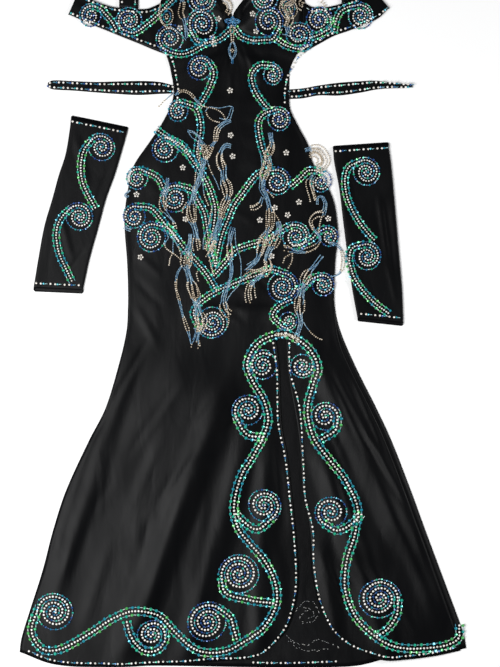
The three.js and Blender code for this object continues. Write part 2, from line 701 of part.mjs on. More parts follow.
function geometryOf(solid) {
  const mesh = solid.getMesh();
  const corners = [];
  for (let i = 0; i < mesh.numVert; i += 1) {
    corners.push(new THREE.Vector3().fromArray(mesh.vertProperties, i * mesh.numProp));
  }
  const triangles = [];
  for (let i = 0; i < mesh.numTri; i += 1) triangles.push([...mesh.triVerts.slice(3 * i, 3 * i + 3)]);
  return closedBody(corners, triangles);
}

// One three-sided strand along places that lie on the cloth.
function strand(places) {
  const rings = places.map(({ point, aside }) => [
    point.clone().addScaledVector(aside, -STRAND_WIDTH / 2),
    point.clone().addScaledVector(aside, STRAND_WIDTH / 2),
    point.clone().setZ(point.z + STRAND_HEIGHT),
  ]);
  const triangles = [[0, 1, 2]];
  for (let row = 0; row < rings.length - 1; row += 1) {
    for (let k = 0; k < 3; k += 1) {
      const a = 3 * row + k;
      const b = 3 * row + ((k + 1) % 3);
      triangles.push([a, a + 3, b], [b, a + 3, b + 3]);
    }
  }
  const end = 3 * (rings.length - 1);
  triangles.push([end + 2, end + 1, end]);
  return closedBody(rings.flat(), triangles);
}

// A bundle of strands, laid on the cloth and fused at their roots in a narrow strip.
function fringe({ strands, pitch, fan, route, step = STRAND_STEP }, carriers) {
  const middle = new THREE.CatmullRomCurve3(
    route.map(([x, y]) => new THREE.Vector3(x, y, 0)),
    false,
    "centripetal",
  );
  const length = middle.getLength();
  const aside = (t) => {
    const along = middle.getTangentAt(t);
    return new THREE.Vector3(-along.y, along.x, 0);
  };
  const half = ((strands - 1) / 2) * pitch;
  const rest = (x, y) => {
    const near = [-FEELER_REACH, 0, FEELER_REACH];
    return Math.max(...near.flatMap((dx) => near.map((dy) => heightOver(carriers, x + dx, y + dy))));
  };
  const stripLine = (end) =>
    Array.from({ length: strands + 1 }, (_, k) =>
      middle
        .getPointAt(0)
        .addScaledVector(middle.getTangentAt(0), end * STRIP_LENGTH)
        .addScaledVector(aside(0), (k - strands / 2) * pitch),
    );
  const underStrip = [-0.5, 0, 0.5].flatMap(stripLine).map((p) => rest(p.x, p.y));
  const stripHeight = Math.max(...underStrip) + STRAND_CLEARANCE;
  const strip = [-0.5, 0.5].map((end) => stripLine(end).map((p) => p.setZ(stripHeight)));
  const stripTop = strip.map((line) => line.map((p) => p.clone().setZ(stripHeight + STRIP_HEIGHT)));
  let whole = solidOf(sheetBetween(stripTop, strip));
  for (let k = 0; k < strands; k += 1) {
    const reach = 1 - 0.11 * ((k * 3 + 1) % 4) / 3;
    const steps = Math.max(3, Math.round((length * reach) / step));
    const offset = (t) => (k * pitch - half) * lerp(1, fan, t);
    const flat = Array.from({ length: FEELERS * steps + 1 }, (_, i) => {
      const t = (i / (FEELERS * steps)) * reach;
      return middle.getPointAt(t).addScaledVector(aside(t), offset(t));
    });
    const heights = flat.map((p) => rest(p.x, p.y));
    const places = Array.from({ length: steps + 1 }, (_, i) => {
      const near = heights.slice(Math.max(FEELERS * (i - 1), 0), FEELERS * (i + 1) + 1);
      const z = Math.max(...near) + STRAND_CLEARANCE;
      const point = flat[FEELERS * i].clone().setZ(i === 0 ? stripHeight : z);
      return { point, aside: aside((i / steps) * reach) };
    });
    whole = whole.add(solidOf(strand(places)));
  }
  return geometryOf(whole);
}

// The bow at the centre front with its stem, ring and tip, one flat ornament.
function centreDrop(carriers) {
  const lobe = (side) => {
    const shape = new THREE.SphereGeometry(1, 10, 6);
    shape.scale(BOW_LOBE.long, BOW_LOBE.wide, BOW_LOBE.thick);
    shape.translate(CENTRE_FRONT + side * BOW_LOBE.out, BOW_Y, 0);
    return solidOf(tidied(shape));
  };
  const stem = new THREE.BoxGeometry(DROP_STEM.wide, DROP_STEM.from - DROP_STEM.to, DROP_THICK);
  stem.translate(CENTRE_FRONT, (DROP_STEM.from + DROP_STEM.to) / 2, 0);
  const outer = new THREE.Shape();
  outer.absellipse(CENTRE_FRONT, DROP_RING.y, DROP_RING.halfWide, DROP_RING.halfLong, 0, 2 * Math.PI);
  const hole = new THREE.Path();
  const holeWide = DROP_RING.halfWide - DROP_RING.band;
  const holeLong = DROP_RING.halfLong - DROP_RING.band;
  hole.absellipse(CENTRE_FRONT, DROP_RING.y, holeWide, holeLong, 0, 2 * Math.PI, true);
  outer.holes.push(hole);
  const extruded = { depth: DROP_THICK, bevelEnabled: false, curveSegments: 8 };
  const ring = new THREE.ExtrudeGeometry(outer, extruded);
  ring.translate(0, 0, -DROP_THICK / 2);
  const tip = new THREE.ConeGeometry(3, 10, 6);
  tip.rotateX(Math.PI);
  tip.scale(1, 1, DROP_THICK / 6);
  tip.translate(CENTRE_FRONT, DROP_TIP + 5, 0);
  const parts = [stem, ring, tip].map((piece) => solidOf(tidied(piece)));
  const whole = parts.reduce((sum, piece) => sum.add(piece), lobe(-1).add(lobe(1)));
  const geometry = geometryOf(whole);
  const at = geometry.attributes.position;
  const below = Array.from({ length: at.count }, (_, i) => heightOver(carriers, at.getX(i), at.getY(i)));
  geometry.translate(0, 0, Math.max(...below) + DROP_THICK / 2 + STRAND_CLEARANCE);
  return geometry;
}

const costume = new THREE.Group();

function addPiece(name, geometry, finish) {
  const mesh = new THREE.Mesh(geometry, new THREE.MeshStandardMaterial(finish));
  mesh.name = name;
  costume.add(mesh);
  return mesh;
}

addPiece("back_skirt", backSkirt(), BLACK_SATIN);
const carriers = [
  addPiece("front_panel", frontPanel(), BLACK_SATIN),
  addPiece("cup_left", cup(false), BLACK_FOAM),
  addPiece("cup_right", cup(true), BLACK_FOAM),
];
addPiece("arm_band_left", armBand(ARM_BAND_LEFT), BLACK_SATIN);
addPiece("arm_band_right", armBand(ARM_BAND_RIGHT), BLACK_SATIN);
addPiece("shoulder_strap_left", shoulderStrap(STRAP_LEFT, ARM_BAND_LEFT), BLACK_SATIN);
addPiece("shoulder_strap_right", shoulderStrap(STRAP_RIGHT, ARM_BAND_RIGHT), BLACK_SATIN);
addPiece("waist_strap_left", waistStrap(WAIST_STRAP_LEFT), BLACK_SATIN);
addPiece("waist_strap_right", waistStrap(WAIST_STRAP_RIGHT), BLACK_SATIN);
addPiece("gauntlet_left", gauntlet(GAUNTLET_LEFT), BLACK_SATIN);
addPiece("gauntlet_right", gauntlet(GAUNTLET_RIGHT), BLACK_SATIN);
for (const bundle of FRINGE) addPiece(bundle.name, fringe(bundle, carriers), BEADS);
addPiece("centre_drop", centreDrop(carriers), BLUE_BEADS);

export default costume;
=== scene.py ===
"""A belly dance costume laid flat on a pale floor: dress, gauntlets, scroll beadwork and bead fringe.

Sizes in the tables are millimetres in the costume's own frame: +Y runs from the hem to the neckline,
+X to the right as seen from above, +Z up from the floor. Meshes are built in metres.
"""

from __future__ import annotations

import logging
import math
from collections.abc import Iterable, Sequence
from dataclasses import dataclass, field
from enum import Enum
from functools import cache

import bmesh
import bpy
import numpy as np
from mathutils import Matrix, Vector
from mathutils.bvhtree import BVHTree


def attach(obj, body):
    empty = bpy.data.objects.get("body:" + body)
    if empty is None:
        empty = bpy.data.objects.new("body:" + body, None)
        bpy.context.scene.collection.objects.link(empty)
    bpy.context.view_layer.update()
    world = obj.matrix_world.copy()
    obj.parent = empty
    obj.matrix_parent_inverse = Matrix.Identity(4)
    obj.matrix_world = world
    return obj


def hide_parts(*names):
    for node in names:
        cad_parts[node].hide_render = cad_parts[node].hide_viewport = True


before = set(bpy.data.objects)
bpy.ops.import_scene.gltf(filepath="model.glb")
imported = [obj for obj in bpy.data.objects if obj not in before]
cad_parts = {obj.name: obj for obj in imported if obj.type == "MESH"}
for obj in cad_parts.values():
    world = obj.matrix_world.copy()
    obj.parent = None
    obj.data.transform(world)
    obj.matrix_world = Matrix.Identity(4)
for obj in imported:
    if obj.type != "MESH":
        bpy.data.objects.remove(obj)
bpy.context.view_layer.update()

logging.basicConfig(level=logging.INFO, format="%(message)s")
LOG = logging.getLogger("costume")

MM = 0.001
CLOTH = 1.2
SEAM = 0.3
LAYER = CLOTH + SEAM
CENTRE_FRONT = -20.5
SLIT_TOP = -56.0
HEM_LEVEL = -680.0
BACK_TOP = 386.0
STRAP_TOP = 695.0
SEED = 7

Place = tuple[float, float]
Route = tuple[Place, ...]

# The outline of the dress from the waist to the hem: level, left side, right side
SIDES = (
    (499, -150, 115.5), (480, -144, 104), (455, -139, 94), (433, -135, 90), (412, -137, 90),
    (392, -144, 92), (357, -163, 109), (325, -185, 126), (283, -213, 138), (248, -222, 162),
    (213, -228, 177), (180, -231, 183), (150, -230, 185), (100, -226, 180), (50, -224, 178),
    (10, -224, 178.5), (-40, -227, 190), (-110, -243, 220), (-190, -268, 260), (-250, -299, 288),
    (-350, -345, 327), (-430, -371, 356), (-500, -389, 381), (-590, -415, 411), (-655, -432, 431),
    (-680, -435, 435),
)
# The edges of the front slit: level, left edge, right edge
SLIT = (
    (-56, 64, 84), (-117, 71, 87), (-222, 75, 105), (-278, 86, 111), (-355, 95, 116),
    (-424, 102, 129), (-487, 107, 132), (-535, 108, 138), (-584, 100, 152), (-619, 87, 172),
    (-645, 66, 199), (-664, 40, 230), (-680, 12, 252),
)
# The underbust seam: across, level
TOP_EDGE = (
    (-152, 497), (-117, 505), (-74, 522), (-28, 542), (-20, 547), (-10, 543), (18, 525),
    (48, 526), (78, 519), (98, 513), (116, 505),
)
# The hem: across, front level, back level
HEM = (
    (-435, -664, -662), (-370, -687, -685), (-285, -693, -692), (-180, -690, -691), (-84, -684, -692),
    (12, -679, -694), (100, -679, -695), (222, -672, -691), (286, -680, -676), (370, -672, -669),
    (435, -659, -657),
)
# Wide soft folds of the front: from a place to a place, half width, height
FOLDS = (
    (-60, -40, -215, -700, 150, 7), (-90, -70, -330, -430, 45, 2),
    (-20, -110, -260, -740, 40, 9), (20, -190, -130, -740, 36, 7),
    (48, -200, 25, -740, 28, 5), (-200, -20, -385, -600, 36, 6), (120, -40, 330, -500, 32, 6),
    (140, -240, 305, -740, 34, 8), (165, -60, 395, -640, 26, 5), (145, -430, 200, -740, 24, 5),
    (-110, 5, 100, -5, 20, 3), (-24, 530, -72, 440, 18, 3), (-14, 530, 44, 440, 18, 3),
)
# Finer creases of the front: from, to, half width, height (a trough is negative)
CREASES = (
    (-172, -37, -256, -176, 9, -1.8), (-228, -128, -314, -288, 10, -2.4), (-292, -246, -359, -398, 11, -2.4),
    (-344, -350, -382, -505, 15, -1.9), (-352, -420, -360, -560, 20, -1.4), (-268, -270, -282, -420, 9, 0.9),
    (-112, -112, -245, -312, 13, -0.9), (-100, -120, -228, -300, 9, 0.5),
    (-245, -312, -306, -410, 11, -0.7), (-84, -244, -181, -396, 12, -1.2),
    (-72, -250, -168, -390, 9, 1.3), (-181, -396, -195, -466, 12, -1.8),
    (14, -160, -62, -271, 11, -1.5), (-30, -150, -110, -240, 12, 1.1),
    (-190, -70, -262, -210, 15, 1.4), (-205, -90, -285, -260, 10, -1.2),
    (-150, -220, -230, -420, 16, 1.5), (-120, -300, -200, -560, 18, -1.6),
    (-60, -330, -120, -600, 16, 1.8), (-40, -400, -84, -640, 12, -1.7),
    (-250, -420, -318, -640, 18, 1.6), (-290, -380, -350, -560, 14, -1.4),
    (-330, -440, -392, -640, 14, 1.3), (-150, -470, -210, -660, 14, 1.4),
    (50, -232, 66, -420, 8, 1.3), (62, -250, 84, -470, 7, -1.6), (40, -300, 78, -600, 10, 1.5),
    (84, -430, 92, -600, 7, -1.3), (30, -470, 46, -640, 10, -1.4), (72, -140, 78, -260, 6, 1.0),
    (205, -104, 298, -312, 9, -2.6), (214, -100, 306, -300, 7, 1.5), (298, -312, 363, -466, 9, -2.4),
    (363, -466, 411, -626, 9, -2.0), (308, -300, 372, -460, 7, 1.4), (374, -462, 420, -620, 7, 1.2),
    (174, -104, 263, -284, 10, -1.9), (160, -100, 246, -290, 9, 1.4),
    (222, -208, 347, -410, 9, -1.8), (212, -216, 330, -410, 8, 1.3),
    (150, -180, 214, -330, 10, 1.2), (176, -300, 236, -470, 12, -1.6),
    (150, -470, 214, -600, 8, 1.8), (160, -486, 232, -610, 6, -1.7), (174, -480, 252, -612, 7, 1.8),
    (190, -478, 268, -600, 6, -1.5), (204, -470, 290, -590, 7, 1.4), (230, -470, 330, -610, 9, -1.3),
    (134, -500, 158, -590, 6, 1.2), (280, -520, 340, -640, 10, 1.3),
    (-60, 16, 10, -14, 9, -1.6), (10, -14, 96, 6, 9, -1.6), (-54, 2, 6, -28, 7, 0.9),
    (-21, 540, -28, 470, 6, -1.5), (-24, 538, -92, 486, 8, -1.6), (-20, 536, -58, 440, 7, -1.5),
    (-16, 540, 44, 488, 7, -1.5), (-12, 538, 20, 452, 7, -1.2), (-22, 470, -26, 412, 8, 1.0),
    (-4, 500, 70, 470, 8, 1.1), (-40, 500, -118, 462, 8, 1.1),
    (-16, 382, 88, 372, 6, 0.7), (-18, 366, 70, 352, 5, -0.7), (-22, 338, 60, 332, 6, 0.7),
    (-8, 318, 70, 300, 6, -0.8), (-10, 292, 84, 268, 7, 0.8), (4, 270, 70, 240, 6, -0.7),
    (-140, 398, -60, 372, 7, -0.9), (-176, 344, -104, 300, 9, 1.0), (-206, 282, -148, 232, 9, -1.1),
    (96, 352, 60, 300, 8, 1.0), (150, 268, 96, 236, 8, 1.1), (166, 236, 110, 200, 8, -0.9),
    (-216, 120, -150, 60, 10, 1.2), (-218, 70, -150, 0, 11, -1.2), (-214, 20, -160, -80, 12, 1.3),
    (170, 20, 110, -20, 9, -1.1), (174, 60, 120, 92, 9, 0.9), (-30, 200, 30, 168, 8, 0.8),
    (0, 96, 60, 30, 8, -0.9), (-24, 60, 28, 20, 8, 0.9),
)
TOP_DEPTH = 50.0
SEAM_INSET = 12.0
WAIST_LEVEL = 430.0
LINE_STEP = 2.5
SPAN_POINTS = 24

# Half of the cup outline, from the centre front round over the top to the underbust
CUP_OUTLINE = (
    (-21.4, 542), (-21.4, 554), (-21.4, 568), (-22.4, 580), (-34, 597), (-48, 613), (-66, 634),
    (-92, 646), (-122, 643), (-147, 628), (-160, 605), (-163, 560), (-160, 520), (-153, 503),
    (-117, 499), (-74, 516), (-40, 531),
)

# Arm bands, from the cup to the outer fold: the top and the low end of each crosswise line
ARM_BAND_LEFT = (
    (-157, 603, -152, 500.5), (-168, 596, -172, 508), (-190, 588, -200, 520), (-222, 589, -230, 532),
    (-250, 591, -262, 545), (-275, 598, -292, 557), (-300, 608, -318, 568), (-324, 616, -341, 577),
)
ARM_BAND_RIGHT = (
    (116, 603, 116, 500), (135, 592, 129, 509.5), (158, 591, 151, 522), (184, 596, 177, 536),
    (207, 604, 203, 545), (228, 612, 232, 556), (245, 618, 265, 571), (259, 621, 286, 589),
)
# Waist straps: across, top edge, low edge, thickness
WAIST_STRAP_LEFT = (
    (-136.7, 440, 424, 2), (-163, 446.5, 423, 2), (-203, 448.5, 421, 2.4), (-245, 447.5, 423, 2.2),
    (-287, 446.5, 426, 2), (-330, 448, 429.5, 2), (-371, 449.5, 432, 2), (-380, 445.5, 436, 2),
)
WAIST_STRAP_RIGHT = (
    (90.7, 432, 413, 2), (116, 434, 414.5, 2), (147, 439.5, 420, 2.2), (188, 445, 420, 2.6),
    (231, 448, 426, 2.8), (256, 449, 431, 3.4), (278, 446.5, 433.5, 4.4), (312, 442.5, 434.5, 5),
    (330, 440.5, 435.5, 3.6),
)
# Gauntlets: level, left fold, right fold
GAUNTLET_LEFT = (
    (376, -335, -220), (350, -338, -225), (304, -346, -238), (264, -359, -250), (220, -371, -266),
    (165, -387, -281), (100, -399, -299), (45, -408, -311),
)
GAUNTLET_RIGHT = (
    (318, 175, 284), (290, 177.5, 288), (240, 187, 293), (170, 195.5, 299), (100, 204.5, 305),
    (40, 213, 310), (-14, 223, 312),
)
# Creases of the gauntlets: from, to, half width, height
GAUNTLET_LEFT_CREASES = (
    (-330, 360, -300, 230, 12, 1.4), (-250, 300, -300, 170, 12, -1.4), (-360, 200, -330, 90, 11, 1.2),
    (-300, 130, -350, 60, 10, -1.2),
)
GAUNTLET_RIGHT_CREASES = (
    (276, 230, 296, 60, 11, -1.8), (262, 240, 284, 90, 9, 1.5), (190, 230, 214, 120, 9, 1.1),
    (230, 60, 250, 0, 9, -1.0), (280, 100, 300, 10, 8, 1.2),
)


class Turn(Enum):
    """Which way a scroll winds inwards, seen from above."""

    LEFT = 1
    RIGHT = -1


@dataclass(frozen=True)
class Scroll:
    """One spiral of beads with the stem that runs into it."""

    x: float
    y: float
    radius: float
    turn: Turn
    stem: Route = ()


L, R = Turn.LEFT, Turn.RIGHT
TORSO_SCROLLS = (
    Scroll(-82, 474, 23, L, ((-58, 470), (-57, 458), (-61, 445), (-66, 432), (-74, 417), (-83, 402), (-88, 394))),
    Scroll(58, 462, 19, R, ((33, 478), (22, 468), (17, 456), (19, 441), (27, 422), (39, 405), (48, 394))),
)
HIP_LEFT_SCROLLS = (
    Scroll(-125, 391, 20, L, ((-92, 395), (-84, 375), (-82, 351), (-87, 327), (-89, 304), (-78, 275))),
    Scroll(-150, 317, 25, L, ((-115, 320), (-103, 301))),
    Scroll(-205, 260, 21, L, ((-165, 259), (-153, 235))),
    Scroll(-132, 222, 27, L, ((-99, 235), (-87, 214), (-75, 190), (-70, 162), (-66, 133), (-59, 107))),
    Scroll(-211, 186, 22, L, (
        (-179, 200), (-160, 180), (-142, 157), (-123, 133), (-108, 114), (-89, 94), (-70, 71), (-52, 41))),
    Scroll(-177, 146, 28, L, ((-142, 159), (-126, 138))),
    Scroll(-62, -23, 29, L, (
        (-96, -4), (-88, 12), (-70, 28), (-47, 41), (-21, 52), (5, 62), (34, 72), (55, 82))),
)
HIP_RIGHT_SCROLLS = (
    Scroll(78, 49, 29, R, ((53, 81), (34, 72))),
    Scroll(86, -21, 17, L, ((58, -9), (69, 9), (93, 22))),
    Scroll(155, 53, 21, R, ((132, 62), (120, 48), (106, 42))),
    Scroll(102, 147, 26, R, (
        (74, 157), (53, 140), (29, 133), (5, 126), (-16, 117), (-33, 95), (-56, 69))),
    Scroll(166, 147, 19, R, ((147, 154), (133, 140), (114, 131), (98, 127))),
    Scroll(66, 254, 25, R, (
        (31, 268), (16, 252), (0, 230), (-17, 206), (-29, 178), (-41, 147), (-49, 114), (-53, 88))),
    Scroll(152, 254, 20, R, ((129, 274), (112, 259), (93, 243))),
    Scroll(69, 375, 22, R, ((41, 383), (31, 370), (31, 346), (37, 318), (48, 288), (54, 273))),
)
CUP_SCROLLS = (
    Scroll(-81, 554, 27, R, ((-90, 526), (-76, 523), (-62, 524), (-43, 531), (-25, 547))),
    Scroll(-79, 601, 24, R),
    Scroll(-143, 529, 26, R, ((-137, 503), (-119, 500), (-99, 506), (-80, 517), (-69, 522))),
    Scroll(52, 560, 25, L, ((58, 531), (42, 528), (15, 528), (-5, 536), (-16, 551))),
    Scroll(43, 604, 23, L),
    Scroll(111, 537, 25, L, ((124, 515), (110, 511), (95, 513), (80, 519), (66, 529))),
)
BAND_SCROLLS = (
    Scroll(-296, 577, 21, L, ((-277, 588), (-268, 578), (-258, 567), (-250, 554), (-246, 547))),
    Scroll(-222, 564, 24, R, ((-215, 541), (-203, 546), (-187, 558), (-169, 573), (-154, 588), (-132, 605))),
    Scroll(150, 567, 24, L, ((171, 552), (160, 544), (146, 537), (134, 533))),
    Scroll(228, 576, 24, R, ((204, 591), (190, 583), (183, 570), (179, 556), (177, 543))),
)
GAUNTLET_LEFT_SCROLLS = (
    Scroll(-277, 320, 26, R, ((-309, 314), (-315, 286), (-312, 252), (-300, 224), (-287, 201))),
    Scroll(-320, 185, 26, R, ((-354, 180), (-363, 150), (-357, 111), (-345, 84), (-333, 59))),
)
GAUNTLET_RIGHT_SCROLLS = (
    Scroll(239, 273, 26, R, (
        (206, 280), (199, 262), (199, 240), (204, 217), (214, 194), (229, 169), (246, 148), (255, 139))),
    Scroll(241, 109, 26, R, (
        (213, 123), (207, 104), (210, 84), (217, 64), (230, 44), (245, 27), (262, 11), (283, -4))),
)
SKIRT_LEFT_SCROLLS = (
    Scroll(40, -103, 27, L),
    Scroll(7, -194, 29, R, ((7, -239), (38, -246))),
    Scroll(43, -380, 31, L, ((28, -424), (3, -411), (-14, -394))),
    Scroll(-10, -512, 38, R, ((-35, -547), (10, -561), (59, -568))),
    Scroll(-369, -584, 35, R, (
        (-411, -624), (-390, -657), (-361, -659), (-306, -632), (-248, -595), (-206, -581),
        (-164, -591), (-127, -628), (-84, -661), (-33, -661), (14, -636))),
    Scroll(-174, -627, 28, L, (
        (-151, -637), (-158, -651), (-172, -661), (-192, -660), (-210, -643), (-219, -624), (-224, -603))),
    Scroll(-68, -602, 37, L, ((-24, -596), (-18, -616), (-12, -637))),
)
SKIRT_RIGHT_SCROLLS = (
    Scroll(118, -106, 23, R),
    Scroll(163, -205, 27, L, ((181, -230), (153, -249))),
    Scroll(170, -393, 29, R, ((184, -426), (212, -412), (230, -396))),
    Scroll(268, -559, 39, L, ((299, -591), (282, -616), (261, -630))),
)
HIP_STEMS = (
    ((-168, 353), (-146, 337), (-123, 320), (-104, 301), (-89, 280), (-73, 256), (-61, 228), (-54, 199),
     (-56, 171), (-61, 143), (-59, 114), (-54, 88)),
)
SLIT_LEFT_STEM = (
    (82, -43), (68, -45), (30, -62), (8, -103), (18, -134), (41, -175), (49, -212), (39, -246),
    (20, -281), (-3, -318), (-18, -384), (-9, -423), (14, -452), (39, -481), (64, -532), (64, -573),
    (39, -616), (14, -636),
)
SLIT_RIGHT_STEM = (
    (84, -43), (105, -54), (131, -76), (146, -111), (136, -146), (127, -179), (127, -207), (138, -247),
    (170, -292), (199, -329), (223, -384), (218, -427), (203, -481), (198, -532), (214, -586),
    (248, -624), (298, -653), (361, -655), (402, -648), (420, -636), (421, -612),
)
FLOWERS = (
    (-49, 567), (-60, 533), (-56, 520), (-121, 549), (-25, 429), (-24, 342), (-20, 301), (-117, 279),
    (-207, 227), (-112, 179), (-199, 105), (20, 575), (26, 545), (84, 308), (109, 212), (62, 201),
    (87, 187), (33, 177), (56, 107), (166, 180),
)
# Single rows of edge beads: the slit and the hem, the right side of the waist, and the back's hem
SLIT_EDGES = (
    ((59, -62), (66, -118), (69, -222), (81, -278), (90, -355), (99, -438), (103, -535), (94, -584),
     (80, -619), (42, -661), (14, -672), (-57, -676), (-160, -682), (-265, -685), (-369, -679), (-420, -660)),
    ((90, -62), (92, -118), (110, -187), (117, -292), (122, -368), (136, -424), (138, -487), (144, -535),
     (158, -584), (181, -626), (216, -653), (250, -664), (286, -672), (324, -670), (370, -664), (412, -655)),
)
RIGHT_SIDE_TRIM = ((124, 508), (114, 500), (106, 492), (97, 477), (88, 460), (84, 445), (81, 422), (82, 402))
BACK_HEM_EDGE = ((16, -684), (92, -685), (181, -682))
# Where the stitches of the back's own beadwork show on its wrong side, inside the slit
BACK_STITCHES = (
    ((104, -584), (118, -566), (136, -568), (147, -586), (136, -604), (116, -606), (112, -592), (126, -584)),
    ((116, -580), (130, -578), (140, -590), (128, -598)),
    ((84, -632), (104, -646), (126, -650), (147, -640), (168, -647), (190, -656)),
    ((90, -642), (112, -658), (140, -661), (166, -658)),
)


@dataclass(frozen=True)
class Strings:
    """Bead strings that run together: how many, their route, and the shares of it where the pearls sit."""

    strands: int
    route: Route
    pearls: tuple[Place, ...]


STRAY = "stray"
